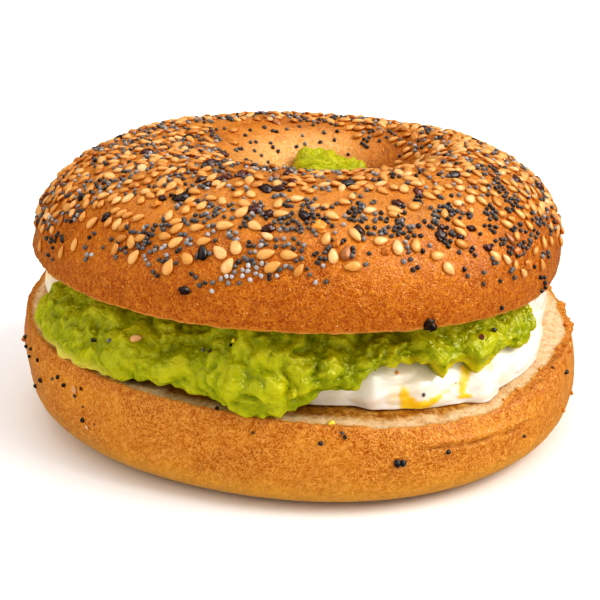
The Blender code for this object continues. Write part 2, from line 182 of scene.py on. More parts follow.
def lower_point(radius, height, angle):
    """Where a point of the lower half's outline lies on its uneven crust."""
    share = height / LOWER_CUT
    fuller = UNDER_FULLNESS * max(0.0, math.cos(angle - UNDER_TOWARDS)) * (1 - smooth(share, 0.0, 0.5))
    flare = RIM_FLARE * max(0.0, -math.cos(angle)) ** 4 * smooth(share, 0.45, 0.85)
    outer = smooth(radius, 35 * MM, 43 * MM)
    x, y = plan(radius + outer * (fuller + flare), angle, LOWER_CENTRE, LOWER_OUTLINE, LOWER_EDGE_RADIUS)
    z = height + (lower_cut(x, y) - LOWER_CUT) * share * share
    bump = dent(Vector((x, y, z))) * smooth(share, 0.0, 0.4) * (1 - smooth(share, 0.9, 1.0))
    return Vector((x + bump * math.cos(angle), y + bump * math.sin(angle), z))


def upper_point(radius, rise, angle):
    """The same for the upper half, whose outline gives the rise above its cut."""
    rise *= 1 + round_the_clock(angle, CREST_SAG)[0] * MM / CREST_RISE
    pull = smooth(rise, 0.0, 3 * MM) * (1 - 0.5 * smooth(rise, 10 * MM, 17 * MM))
    pull *= smooth(radius, 30 * MM, 45 * MM)
    radius -= LEFT_PULL * max(0.0, -math.cos(angle)) ** 4 * pull
    x, y = plan(radius, angle, UPPER_CENTRE, UPPER_OUTLINE, UPPER_EDGE_RADIUS)
    plane = UPPER_CUT + UPPER_SLOPE[0] * x + UPPER_SLOPE[1] * y
    kept = (1 - smooth(rise, 0.0, 11 * MM)) * (upper_cut(x, y) - plane)
    bump = dent(Vector((x, y, rise + 0.2))) * smooth(rise, 0.0, 7 * MM)
    out = smooth(radius, 30 * MM, 50 * MM)
    x += bump * out * math.cos(angle) - UPPER_SLOPE[0] * rise
    y += bump * out * math.sin(angle) - UPPER_SLOPE[1] * rise
    return Vector((x, y, plane + kept + rise + bump * (1 - out)))


crest = [1000 * upper_point(CREST_RADIUS, CREST_RISE, math.radians(d)).z for d in range(-180, 180, 10)]
print("the crest is %.1f to %.1f mm high" % (min(crest), max(crest)))

# %% [markdown]
# ### The outlines of the halves
# Each outline is a closed line of short, even steps, so that the faces come out nearly square. The steps
# are longer where nothing of the bread is seen from near, as under it and inside on the cut.

# %% Outlines of the two halves, as radius and height
FINE_STEP = 0.5 * MM
COARSE_STEP = 1.5 * MM
CRUST_STEPS = 540


def arc(centre, size, start, end, steps):
    """Points along part of an ellipse, between two angles in degrees."""
    angles = [math.radians(start + (end - start) * i / steps) for i in range(steps + 1)]
    return [(centre[0] + size[0] * math.cos(a), centre[1] + size[1] * math.sin(a)) for a in angles]


def evenly(corners, is_fine):
    """The closed outline with points added: close where is_fine says so, and farther apart elsewhere."""
    points = []
    for (r0, h0), (r1, h1) in zip(corners, corners[1:] + corners[:1]):
        length = math.hypot(r1 - r0, h1 - h0)
        pieces = max(1, round(length / FINE_STEP))
        last = 0.0
        for i in range(pieces):
            radius, height = r0 + (r1 - r0) * i / pieces, h0 + (h1 - h0) * i / pieces
            step = FINE_STEP if is_fine(radius, height) else COARSE_STEP
            if i == 0 or i * length / pieces - last >= step - 0.01 * MM:
                points.append((radius, height))
                last = i * length / pieces
    return points


def lower_profile():
    """Outer side from the cut down to the base, the base, the hole's wall and the cut face."""
    belly = LOWER_CUT - LOWER_BULGE_HEIGHT
    tuck = LOWER_BULGE_RADIUS - LOWER_EDGE_RADIUS
    steps = 14
    side = [(LOWER_BULGE_RADIUS - tuck * (i / steps) ** 2, LOWER_BULGE_HEIGHT + belly * i / steps)
            for i in range(steps, 0, -1)]
    under = arc((BASE_RADIUS, LOWER_BULGE_HEIGHT), (LOWER_BULGE_RADIUS - BASE_RADIUS, LOWER_BULGE_HEIGHT),
                0, -90, 24)
    hole = [(BASE_HOLE_RADIUS, 0.0), (14.6 * MM, 0.9 * MM), (13.2 * MM, 2.4 * MM), (11.9 * MM, 4.6 * MM),
            (11.2 * MM, 7.0 * MM), (10.7 * MM, 9.6 * MM), (HOLE_RADIUS, 12 * MM)]
    corners = side + under + hole + [(HOLE_RADIUS + 0.6 * MM, LOWER_CUT)]
    return evenly(corners, lambda radius, height: radius > BASE_RADIUS and height > 0.5 * MM)


def upper_profile():
    """Crest, outer side, cut face, hole's wall and the slope back up to the crest."""
    side = arc((CREST_RADIUS, UPPER_BULGE_RISE),
               (UPPER_BULGE_RADIUS - CREST_RADIUS, CREST_RISE - UPPER_BULGE_RISE), 90, 0, 40)
    edge = [(51.95 * MM, 2.8 * MM), (51.88 * MM, 1.8 * MM), (51.72 * MM, 0.8 * MM), (51.5 * MM, 0.2 * MM),
            (UPPER_EDGE_RADIUS, 0.0)]
    slope = arc((CREST_RADIUS, HOLE_NECK_RISE),
                (CREST_RADIUS - HOLE_RADIUS, CREST_RISE - HOLE_NECK_RISE), 180, 90, 30)
    corners = side + edge + [(HOLE_RADIUS + 0.6 * MM, 0.0)] + slope[:-1]
    return evenly(corners, lambda radius, rise: rise > 0.1 * MM or radius > 45 * MM)


print(len(lower_profile()), "and", len(upper_profile()), "points in the two outlines")

# %% [markdown]
# ### A sheet rolled into a ring
# Every soft piece here starts as one flat grid, with a column of faces for each step round the axis and a
# row for each point of the outline. Its points are moved to their places in the round, and the seam is
# merged. Then each point moves along its normal for the relief, and an attribute notes what it is made of.

# %% Roll a sheet of faces into a piece
def rolled(steps, rows, place, ring=True):
    """A sheet of faces rolled round the axis. place(angle, row) says where each of its points goes.

    A ring also joins its last row to its first. Without it the first and last rows each shrink to a point.
    """
    made = bmesh.new()
    bmesh.ops.create_grid(made, x_segments=steps, y_segments=rows, size=1.0)
    made.verts.layers.float_color.new("zones")
    spot = made.verts.layers.float_vector.new("spot")
    for vertex in made.verts:
        column = round((vertex.co.x + 1) / 2 * steps) % steps
        row = round((vertex.co.y + 1) / 2 * rows)
        row = row % rows if ring else row
        angle = 0.0 if not ring and row in (0, rows) else math.tau * column / steps - math.pi
        vertex[spot] = (angle, row, 0.0)
        vertex.co = place(angle, row)
    bmesh.ops.remove_doubles(made, verts=made.verts, dist=0.0000001)
    bmesh.ops.recalc_face_normals(made, faces=made.faces)
    return made


def dressed(made, zones_of, height_of):
    """Colours every vertex's zones, and moves it along its normal. Both are worked out from its place."""
    zones, spot = made.verts.layers.float_color["zones"], made.verts.layers.float_vector["spot"]
    made.normal_update()
    moves = []
    for vertex in made.verts:
        angle, row = vertex[spot][0], round(vertex[spot][1])
        vertex[zones] = (*zones_of(vertex.co, angle, row), 1.0)
        moves.append((vertex, vertex.normal * height_of(vertex.co, angle, row)))
    for vertex, move in moves:
        vertex.co += move
    made.verts.layers.float_vector.remove(spot)


def as_object(name, made):
    """Turns the bmesh into a smooth object that rides on the sandwich's one body."""
    mesh = bpy.data.meshes.new(name)
    made.transform(Matrix.Translation(TO_MIDDLE))
    made.to_mesh(mesh)
    made.free()
    mesh.shade_smooth()
    piece = bpy.data.objects.new(name, mesh)
    bpy.context.scene.collection.objects.link(piece)
    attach(piece, "root")
    print(name, len(mesh.polygons), "faces")
    return piece


# %% [markdown]
# ## The lower half
# Its crust is smooth and low, with blisters the size of a pinhead and one long crease at the front right,
# where the dough folded over. The knife tore the crumb at the edge of the cut. A colour attribute called
# zones marks the crumb (red), how far the crust fades to pale (green) and how much darker the crust is
# painted near the cut (blue), which is painted shade. On the side of this half the green is painted light
# from the floor, paler towards the base. On the cut it parts cream crumb from brown crumb, which is oily
# and also painted shade where the filling lies over it.

# %% Crease, lumps and torn crumb
# Degrees of the crease's middle, half its length in degrees, its height there and its rise per degree.
CREASE = (-56.0, 14.5, 12.75 * MM, -0.075 * MM)
LUMP_WIDTH = 1.9 * MM
LUMP_HEIGHT = 2.6  # millimetres for a noise of one
LOWER_RIM = (
    # degrees, millimetres of crust seen on the cut, millimetres that the cut droops at its edge
    (-175, 1.0, 0.0), (-140, 0.6, 0.0), (-121, 0.15, 0.1), (-109, 0.4, 0.0), (-97, 0.3, 0.0), (-89, 0.7, 0.0),
    (-82, 0.7, 0.1), (-76, 0.3, 0.3), (-68, 0.3, 0.4), (-61, 0.5, 0.4), (-53, 0.4, 0.65), (-50, 0.5, 0.65),
    (-47, 1.5, 0.6), (-44, 2.2, 0.5), (-38, 1.8, 0.3), (-33, 2.3, 0.2), (-27, 1.9, 0.0), (-20, 1.8, 0.0),
    (-16, 1.2, 0.0), (-11, 0.6, 0.0), (-6, 0.8, 0.0), (2, 1.2, 0.0), (6, 0.5, 0.0), (20, 0.4, 0.0),
    (90, 0.6, 0.0),
)


def crease_depth(degrees, height):
    """How deep the fold in the dough is here, with the lip of dough above it."""
    along = (degrees - CREASE[0]) / CREASE[1]
    if abs(along) > 1:
        return 0.0
    off = (height - CREASE[2] - CREASE[3] * (degrees - CREASE[0])) / MM
    fade = (1 - along * along) ** 0.7
    lips = 0.5 * math.exp(-((off - 1.1) / 0.9) ** 2) + 0.25 * math.exp(-((off + 0.9) / 0.5) ** 2)
    return fade * (lips - 0.8 * math.exp(-(off / 0.33) ** 2)) * MM


def crust_lumps(point, degrees):
    """Small lumps of baked dough along the rim at the right."""
    lump = max(0.0, noise.noise(point / LUMP_WIDTH + Vector((3, 1, 4))) - 0.12)
    return LUMP_HEIGHT * lump * smooth(degrees, -50, -36) * (1 - smooth(degrees, 18, 32)) * MM


def droop(angle, radius):
    """How far the cut of the lower half hangs down towards its edge."""
    return round_the_clock(angle, LOWER_RIM)[1] * MM * smooth(radius, 47.5 * MM, LOWER_EDGE_RADIUS)


def torn(point, depth):
    """The ragged edge that a knife leaves in crumb."""
    rough = noise.noise(point * 260) + 0.8 * noise.noise(point * 620) + 0.5 * noise.noise(point * 1400)
    return depth * rough


print("the crease runs over", round(2 * CREASE[1]), "degrees")

# %% Model the lower half
OPEN_SIDE = 45  # degrees of the middle of the side where no filling lies near the edge of the cut


def make_lower_bread():
    """The lower half: its outline carried round, then coloured and given its relief."""
    profile = lower_profile()

    def place(angle, row):
        radius, height = profile[row]
        point = lower_point(radius, height, angle)
        point.z -= droop(angle, radius) * smooth(height, 13 * MM, LOWER_CUT)
        return point

    def zones_of(point, angle, row):
        radius, height = profile[row]
        if height > LOWER_CUT - 0.01 * MM:
            crust = round_the_clock(angle, LOWER_RIM)[0] * MM
            crumb = smooth(LOWER_EDGE_RADIUS - radius, crust - 0.5 * MM, crust + 0.6 * MM)
            around = abs((math.degrees(angle) - OPEN_SIDE + 180) % 360 - 180)
            # Crumb near the egg and under the filling is brown: oily crumb, and painted shade of the filling
            # over it.
            clear_of_egg = smooth(radius + 1.6 * MM * noise.noise(point / (5 * MM)), 48.6 * MM, 50.9 * MM)
            oily_and_shaded = smooth(around, 78, 104) * (1 - 0.85 * clear_of_egg) + 0.25 * noise.noise(point / (3 * MM))
            # Blue paints the crust ring seen on the cut darker, as painted shade.
            return crumb, min(1.0, max(0.0, 1 - oily_and_shaded)) * crumb, 0.7 * (1 - crumb)
        # On the side, blue paints the crust darker near the cut, as painted shade, and green paints it paler
        # towards the base, as painted light from the floor.
        edge = smooth(height, LOWER_CUT - 3.5 * MM, LOWER_CUT)
        return 0.0, 1 - smooth(height, 1.0 * MM, 10 * MM), edge

    def relief(point, angle, row):
        radius, height = profile[row]
        degrees = math.degrees(angle)
        if height < 0.05 * MM:
            return 0.0
        if height > LOWER_CUT - 0.01 * MM:
            rough = torn(point, 0.10 * MM + 0.22 * MM * smooth(radius, 44 * MM, 50 * MM))
            return rough + crust_lumps(point, degrees) * smooth(radius, 51.0 * MM, LOWER_EDGE_RADIUS)
        side = smooth(height, 0.5 * MM, 4 * MM)
        soft = 0.10 * noise.noise(point * 220) + 0.05 * noise.noise(point * 520) - 0.05
        ragged = torn(point, 0.20 * MM) * smooth(height, LOWER_CUT - 1.6 * MM, LOWER_CUT)
        ragged += crust_lumps(point, degrees) * smooth(height, LOWER_CUT - 4.5 * MM, LOWER_CUT - 1.0 * MM)
        return side * (soft * MM + crease_depth(degrees, height)) + ragged

    made = rolled(CRUST_STEPS, len(profile), place)
    dressed(made, zones_of, relief)
    return as_object("bread_bottom", made)


bread_bottom = make_lower_bread()
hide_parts("bagel_bottom")

# %% [markdown]
# ## The upper half
# The crust is pulled tight over the crest and dips into a wide, pale hollow round the hole, where the dough
# stayed soft. Between seeds the skin is blistered. The relief has three sizes: slow swells, blisters of
# two or three millimetres, and a ragged lip where the knife came out.

# %% Model the upper half
PALE_HOLLOW = (15.0 * MM, 27.0 * MM)  # fully pale inside the first radius, and not at all outside the second
# The hollow's palest side faces the key lamp: the paleness is real, and its fall towards the far side is
# painted light and shade.
PALE_LIT_SIDE = 150  # degrees of the middle of the hollow's palest side


def make_upper_bread():
    """The upper half, made in the same way."""
    profile = upper_profile()

    def zones_of(point, angle, row):
        radius, rise = profile[row]
        crumb = smooth(UPPER_EDGE_RADIUS - radius, 0.5 * MM, 2.0 * MM) if rise < 0.01 * MM else 0.0
        # Painted light and shade: the hollow is painted palest on its side that faces the key lamp and keeps
        # little paleness on the far side.
        side = 0.08 + 0.92 * smooth(abs((math.degrees(angle) - PALE_LIT_SIDE + 180) % 360 - 180), 110, 50)
        hollow = side * (1 - smooth(radius, *PALE_HOLLOW)) * smooth(rise, 5 * MM, 12 * MM)
        crest = 0.42 * smooth(rise, 12 * MM, 18 * MM) * smooth(radius, 21 * MM, 28 * MM)
        lip = 0.8 * (1 - smooth(rise, 0.15 * MM, 0.5 * MM))
        # Blue is painted shade: the low band of the crust, which faces down, is painted darker.
        return crumb, max(hollow, crest, lip), 1 - smooth(rise, 2 * MM, 13 * MM)

    def relief(point, angle, row):
        radius, rise = profile[row]
        if rise < 0.01 * MM:
            return torn(point, 0.12 * MM + 0.15 * MM * smooth(radius, 44 * MM, 50 * MM))
        soft = 0.16 * noise.noise(point * 130) + 0.10 * noise.noise(point * 330)
        soft += 0.05 * noise.noise(point * 700)
        lip = (1 - smooth(rise, 0.0, 1.2 * MM)) * smooth(radius, 40 * MM, 45 * MM)
        return soft * MM + torn(point, 0.22 * MM) * lip

    made = rolled(CRUST_STEPS, len(profile), lambda angle, row: upper_point(*profile[row], angle))
    dressed(made, zones_of, relief)
    return as_object("bread_top", made)


bread_top = make_upper_bread()
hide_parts("bagel_top")

# %% [markdown]
# ## The egg
# Cooked egg white is a soft slab with rounded sides and long folds along its skin. A box with bevelled edges
# would look machined. The same grid is rolled up here, but into a closed form: its rings run from the middle
# of the top over the side to the middle of the underside. The folds come last, from a noise stretched along
# the side. Runs of yolk are spots in a table, and they only colour the egg. One wide, faint spot in it is
# painted shade, a yolk colour where the avocado shades the egg.

# %% Rings for a flat, closed form
EGG_OUTLINE = (
    # degrees, radius in millimetres
    (-176, 50.6), (-172.5, 49.7), (-169.5, 47.2), (-166, 45.5), (-150, 45.5), (-135, 46.0), (-118, 46.4),
    (-92, 45.4), (-84, 45.8), (-79, 46.0), (-74, 48.0), (-69, 48.5), (-64, 49.5), (-60, 49.8), (-55, 50.3),
    (-50, 52.0), (-46.5, 51.4), (-44, 50.3), (-40, 50.3), (-35, 50.4), (-28, 50.2), (-21.6, 49.3),
    (-14, 48.2), (-8, 48.2), (4, 49.4), (11, 50.4), (40, 48.0), (90, 46.5), (140, 47.0), (170, 50.6),
)
EGG_SHARE = 0.47
EGG_ROUND = 3.6 * MM
EGG_TUCK = 0.5 * MM
EGG_BELLY = 0.32


def ring_of(function, *values):
    """One ring of points, as a function of the angle alone."""
    return lambda angle: function(angle, *values)


def steps_between(start, end, count):
    """Numbers in even steps, with both ends."""
    return [start + (end - start) * i / count for i in range(count + 1)]


def egg_radius(angle):
    """How far the egg's side lies from the axis."""
    return round_the_clock(angle, EGG_OUTLINE)[0] * MM


def egg_thickness(x, y):
    """The egg fills a share of the gap between the cuts, and nearly all of it at its two bare ends."""
    left = smooth(-x, 42 * MM, 47 * MM) * smooth(y, -11 * MM, -6 * MM) * (1 - smooth(y, 14 * MM, 26 * MM))
    right = smooth(x, 40 * MM, 43 * MM) * smooth(y, -22.5 * MM, -19 * MM) * (1 - smooth(y, 10 * MM, 20 * MM))
    return (EGG_SHARE + 0.42 * left + 0.32 * right) * (upper_cut(x, y) - lower_cut(x, y))


def egg_side(angle, share, out=0.0):
    """A point of the egg's rounded side, from 0 on the lower cut to 1 at the egg's top."""
    radius = egg_radius(angle)
    over = max(0.0, (share - EGG_BELLY) / (1 - EGG_BELLY))
    under = max(0.0, (EGG_BELLY - share) / EGG_BELLY)
    radius += out - EGG_ROUND * over ** 2.4 - EGG_TUCK * under ** 2
    x, y = radius * math.cos(angle), radius * math.sin(angle)
    low = lower_cut(x, y) + GAP - droop(angle, radius) * (1 - share)
    return at(angle, radius, low + share * egg_thickness(x, y))


def egg_flat(angle, share, top):
    """A point of the egg's top or underside, at a share of the way from its middle to the side."""
    radius = (egg_radius(angle) - (EGG_ROUND if top else EGG_TUCK)) * share
    x, y = radius * math.cos(angle), radius * math.sin(angle)
    return at(angle, radius, lower_cut(x, y) + GAP + (egg_thickness(x, y) if top else -droop(angle, radius)))


print("the egg is %.1f mm thick at the front" % (1000 * egg_thickness(0, -45 * MM)))

# %% Where yolk ran down the egg, and one painted shade
YOLK_AND_SHADE_SPOTS = (
    # degrees, share of the egg's side, half width in degrees, half height as a share, strength
    (-68.2, 0.33, 1.3, 0.24, 0.95), (-67.4, 0.14, 1.9, 0.20, 1.0), (-65.4, 0.07, 2.8, 0.17, 1.0),
    (-63.8, 0.12, 1.8, 0.16, 1.0), (-62.2, 0.22, 1.5, 0.11, 1.0), (-61.0, 0.29, 1.1, 0.08, 0.9),
    (-59.4, 0.38, 1.5, 0.06, 0.45), (-57.2, 0.50, 1.3, 0.06, 0.3),
    (-54.0, 0.74, 1.2, 0.13, 1.0), (-54.6, 0.62, 1.15, 0.13, 0.95), (-55.3, 0.50, 1.1, 0.13, 0.9),
    (-55.6, 0.37, 1.1, 0.13, 0.95), (-55.2, 0.21, 1.4, 0.10, 1.0), (-54.2, 0.19, 1.1, 0.06, 1.0),
    (-49.6, 0.80, 3.6, 0.17, 0.35), (-70.8, 0.3, 1.5, 0.25, 0.25), (-176.0, 0.6, 5.0, 0.25, 0.4),
    # The wide, faint spot at -118 degrees is no yolk but painted shade: a yolk colour where the avocado
    # shades the egg.
    (174.0, 0.35, 4.0, 0.3, 0.35), (-118.0, 0.4, 14.0, 0.9, 0.35),
)


def yolk_and_shade_share(angle, share):
    """How yellow the egg is here, from 0 to 1, from yolk and from one spot of painted shade."""
    degrees = math.degrees(angle)
    found = 0.0
    for middle, height, wide, tall, strength in YOLK_AND_SHADE_SPOTS:
        off = (degrees - middle + 180) % 360 - 180
        wobble = 0.25 * noise.noise(Vector((degrees * 0.5, share * 6, middle)))
        near = 1 - smooth(math.hypot(off / wide, (share - height) / tall) + wobble, 0.55, 1.15)
        found = max(found, strength * near)
    return found


print(len(YOLK_AND_SHADE_SPOTS), "spots of yolk")

# %% Model the egg
EGG_STEPS = 720
FOLD_LENGTH, FOLD_HEIGHT = 9.0, 3.6  # millimetres, of one fold in the skin


def make_egg():
    """The egg: its top, side and underside as rings, then its folds."""
    side_shares = steps_between(0.985, 0.02, 34)
    flats = [ring_of(egg_flat, share, True) for share in steps_between(0.0, 1.0, 14)]
    sides = [ring_of(egg_side, share) for share in side_shares]
    rings = flats + sides + [ring_of(egg_flat, share, False) for share in steps_between(1.0, 0.0, 6)]

    def zones_of(point, angle, row):
        side = row - len(flats)
        if not 0 <= side < len(sides):
            return 0.0, float(side < 0), 0.0
        return yolk_and_shade_share(angle, side_shares[side]), side_shares[side], 0.0

    def relief(point, angle, row):
        if not len(flats) - 1 <= row <= len(flats) + len(sides) - 3:
            return 0.0
        slack = point + 2 * MM * noise.noise_vector(point / (7 * MM))
        stretched = Vector((slack.x / FOLD_LENGTH, slack.y / FOLD_LENGTH, slack.z / FOLD_HEIGHT)) / MM
        fold = 1.5 * abs(noise.noise(stretched)) - 0.45
        yolk_and_shade, up, _ = zones_of(point, angle, row)
        return ((0.85 * fold + 0.5 * noise.noise(point * 110)) * (1 - 0.5 * up) - 0.1 + 0.15 * yolk_and_shade) * MM

    made = rolled(EGG_STEPS, len(rings) - 1, lambda angle, row: rings[row](angle), ring=False)
    dressed(made, zones_of, relief)
    return as_object("egg_white", made)


egg_white = make_egg()
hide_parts("egg")

# %% [markdown]
# ## The avocado
# Mashed avocado is soft lumps pressed into each other, with sharp creases between them. A plain noise gives
# hills and valleys of one kind. Its absolute value folds the valleys up and leaves creases, and a slower
# noise bends the lumps so that they smear. The skirt hangs over the egg where a table says, and a heap
# fills the hole.

# %% Where the avocado's edge hangs
AVOCADO_EDGE = (
    # degrees, radius of the edge, height over the lower cut
    (-178, 42.0, 11.0), (-169.3, 42.0, 11.0), (-167.8, 47.6, 3.0), (-166.5, 50.4, 1.2), (-164.5, 51.9, 0.3),
    (-160, 52.3, 0.0), (-150, 52.6, 0.0), (-141, 52.2, 0.0), (-134.5, 51.2, 0.1), (-129, 50.6, 0.4),
    (-125, 50.2, 1.0), (-120, 49.6, 1.4), (-112.5, 49.6, 1.9), (-109.5, 49.8, 1.5), (-106.5, 50.4, 1.1),
    (-101.3, 51.8, 0.4), (-97.5, 52.0, 0.3), (-94.7, 51.5, 0.7), (-92, 50.6, 1.4), (-89.7, 50.0, 2.1),
    (-85.4, 49.6, 4.1), (-81.5, 49.3, 4.6), (-78.3, 49.0, 4.9), (-76.9, 48.6, 6.2), (-74.8, 48.3, 7.2),
    (-71.7, 47.5, 8.0), (-68.7, 46.6, 8.6), (-65.5, 46.8, 8.5), (-64, 48.3, 8.0), (-62.5, 49.6, 7.3),
    (-60.9, 50.8, 5.0), (-59, 50.4, 6.9), (-56.3, 49.6, 7.6), (-54.3, 50.4, 7.0), (-53.4, 51.4, 5.6),
    (-49.9, 51.2, 6.9), (-46.3, 50.3, 7.3), (-41.4, 50.1, 7.1), (-39.2, 50.4, 6.0), (-35.5, 50.0, 6.4),
    (-30, 48.8, 6.4), (-28, 48.0, 6.8), (-26.4, 46.4, 7.6), (-24.6, 42.0, 11.0), (30, 42.0, 11.0),
    (90, 44.0, 6.4), (140, 43.0, 9.0), (160, 42.0, 9.0),
)
AVOCADO_LEAN = (
    # degrees, how far the top of the outer face leans in, and from which share of its height
    (-171, 8.0, 0.04), (-165, 9.0, 0.06), (-156, 11.0, 0.16), (-145, 13.5, 0.2), (-114, 13.0, 0.2),
    (-105, 7.0, 0.24), (-93, 5.5, 0.24), (-86, 8.0, 0.22), (-78, 12.0, 0.2), (-68, 11.0, 0.2),
    (-60, 6.5, 0.2), (-52, 5.0, 0.2), (-35, 5.0, 0.2), (-24, 5.0, 0.1), (90, 5.0, 0.2), (170, 5.0, 0.2),
)
AVOCADO_SKIN = 0.6 * MM
LINING_GAP = 1.0 * MM


@lru_cache(maxsize=None)
def avocado_edge(angle):
    """Radius of the hanging edge, and the share of the egg's side where it ends."""
    radius, hang = round_the_clock(angle, AVOCADO_EDGE)
    place = at(angle, radius * MM, 0)
    ragged = 0.9 * abs(noise.noise(place / (2.4 * MM)))
    ragged += 0.5 * noise.noise(place / (6 * MM) + Vector((0, 0, 9)))
    hang += ragged * smooth(hang, 0.3, 2.5)
    share = min(1.0, hang * MM / egg_thickness(place.x, place.y))
    if share == 1.0:
        return radius * MM, share
    covered = egg_side(angle, share)
    return max(radius * MM, math.hypot(covered.x, covered.y) + AVOCADO_SKIN + GAP), share


print("the skirt's edge is cut at", len(AVOCADO_EDGE), "angles")

# %% Faces of the layer
def avocado_rim(angle):
    """Radius of the face's top, under the upper half."""
    return avocado_edge(angle)[0] - round_the_clock(angle, AVOCADO_LEAN)[0] * MM


def avocado_face(angle, share):
    """The outer face, from 0 at the hanging edge to 1 under the upper half."""
    radius, hang = avocado_edge(angle)
    x, y = radius * math.cos(angle), radius * math.sin(angle)
    low = lower_cut(x, y) + GAP + hang * egg_thickness(x, y)
    lean, start = round_the_clock(angle, AVOCADO_LEAN)
    lean *= MM
    inner = radius - lean
    high = upper_cut(inner * math.cos(angle), inner * math.sin(angle)) - GAP
    bulge = 0.9 * MM * math.sin(math.pi * min(1.0, 1.5 * share))
    shoulder = max(0.0, (share - start) / (1 - start)) ** (1.2 + 2.4 * start)
    return at(angle, radius + bulge - lean * shoulder, low + (high - low) * share)


def avocado_lining(angle, share):
    """The inner face, which follows the egg's side from 0 at the hanging edge to 1 at the egg's top."""
    edge, hang = avocado_edge(angle)
    point = egg_side(angle, hang + (1 - hang) * share, -LINING_GAP * smooth(share, 0.0, 0.3))
    inside = min(1.0, (edge - 0.5 * MM) / math.hypot(point.x, point.y))
    return Vector((point.x * inside, point.y * inside, point.z + GAP * share))


UPPER_HOLE = Vector((HOLE_SHIFT[0] + UPPER_CENTRE[0], HOLE_SHIFT[1] + UPPER_CENTRE[1], 0))


def avocado_flat(angle, share, top):
    """The flat top or underside of the layer, between the hole and the rim."""
    inside = UPPER_HOLE + at(angle, HOLE_RADIUS - GAP, 0)
    under = min(egg_radius(angle) - EGG_ROUND - GAP, avocado_edge(angle)[0] - 0.9 * MM)
    rim = avocado_rim(angle) if top else under
    point = inside.lerp(at(angle, rim, 0), share) if top else at(angle, rim * share, 0)
    if top:
        point.z = upper_cut(point.x, point.y) - 1.4 * GAP
    else:
        point.z = lower_cut(point.x, point.y) + egg_thickness(point.x, point.y) + 2 * GAP
    return point


lowest = min(avocado_face(math.radians(degrees), 0.0).z for degrees in range(-180, 180))
print("the skirt hangs down to %.1f mm over the floor" % (1000 * lowest))

# %% [markdown]
# ### The mash in the hole
# The filling was pressed up through the upper half's hole, where its top slopes away to the sides. Its
# rings follow the wall of the hole at a small distance, so that it fills the hole without touching it.

# %% Mash in the hole
MOUND_RISE = 18.1 * MM
MOUND_PEAK = (3.5 * MM, 14.0 * MM)
MOUND_FALL = (0.7, 0.33, 0.1)  # how steeply it falls to the left, to the right, and to the front or back
MOUND_ROUND = 4.0 * MM
MOUND_CLEARANCE = 0.9 * MM


def mound_top(x, y):
    """How far the mash rises over the upper cut here."""
    left = math.hypot(max(0.0, MOUND_PEAK[0] - x), MOUND_ROUND) - MOUND_ROUND
    right = math.hypot(max(0.0, x - MOUND_PEAK[0]), MOUND_ROUND) - MOUND_ROUND
    front = math.hypot(y - MOUND_PEAK[1], MOUND_ROUND) - MOUND_ROUND
    return MOUND_RISE - MOUND_FALL[0] * left - MOUND_FALL[1] * right - MOUND_FALL[2] * front


def mound(angle, share, rise_share):
    """The mash in the hole, at a share of the way from its middle to the wall, and of its height."""
    guess = UPPER_HOLE + at(angle, 1.3 * HOLE_RADIUS * share, 0)
    rise = mound_top(guess.x, guess.y) * rise_share
    sine = max(0.0, rise - HOLE_NECK_RISE) / (CREST_RISE - HOLE_NECK_RISE)
    wall = CREST_RADIUS - (CREST_RADIUS - HOLE_RADIUS) * math.sqrt(1 - sine * sine)
    point = upper_point(wall, rise, angle)
    axis = Vector((UPPER_HOLE.x - UPPER_SLOPE[0] * rise, UPPER_HOLE.y - UPPER_SLOPE[1] * rise, point.z))
    reach = (point - axis).length
    return axis + (point - axis) * share * (1 - MOUND_CLEARANCE / reach)


print("the mash rises %.1f mm over the upper cut" % (1000 * mound_top(UPPER_HOLE.x, UPPER_HOLE.y)))

# %% Lumps and creases of the mash
LUMP_WIDTHS = (5.2 * MM, 2.6 * MM, 1.2 * MM)
LUMP_HEIGHTS = (2.2, 2.0, 0.6)  # millimetres, for the widest lumps first
EVEN_HILL = 0.2  # near the mean of the folded noise, so that lumps rise and creases sink


def hills(point, width):
    """Rounded lumps with sharp creases between them, from 0 in a crease."""
    return abs(noise.noise(point / width))


def mash(point):
    """Height of the mash over its even face, in millimetres, and from 0 in a crease to 1 on a lump."""
    bent = point + 1.8 * MM * noise.noise_vector(point / (6 * MM))
    bent += 0.7 * MM * noise.noise_vector(point / (2 * MM))
    large = hills(bent + Vector((0.1, 0, 0)), LUMP_WIDTHS[0])
    medium = hills(bent + Vector((0, 0.1, 0)), LUMP_WIDTHS[1])
    small = hills(bent + Vector((0, 0, 0.1)), LUMP_WIDTHS[2])
    lively = 0.45 + 0.55 * smooth(noise.noise(point / (12 * MM)), -0.2, 0.25)
    height = 0.8 * noise.noise(bent / (9 * MM)) + LUMP_HEIGHTS[0] * (large - EVEN_HILL)
    height += LUMP_HEIGHTS[1] * lively * (medium - EVEN_HILL)
    height += LUMP_HEIGHTS[2] * lively * (small - EVEN_HILL)
    return height, min(1.0, 1.2 * large + 1.3 * medium + 0.8 * small)


heights = [mash(at(math.radians(degrees), 48 * MM, 27 * MM))[0] for degrees in range(-180, 180, 5)]
print("the lumps of the mash lie from %.1f to %.1f mm off its face" % (min(heights), max(heights)))

# %% Model the avocado
AVOCADO_STEPS = 760


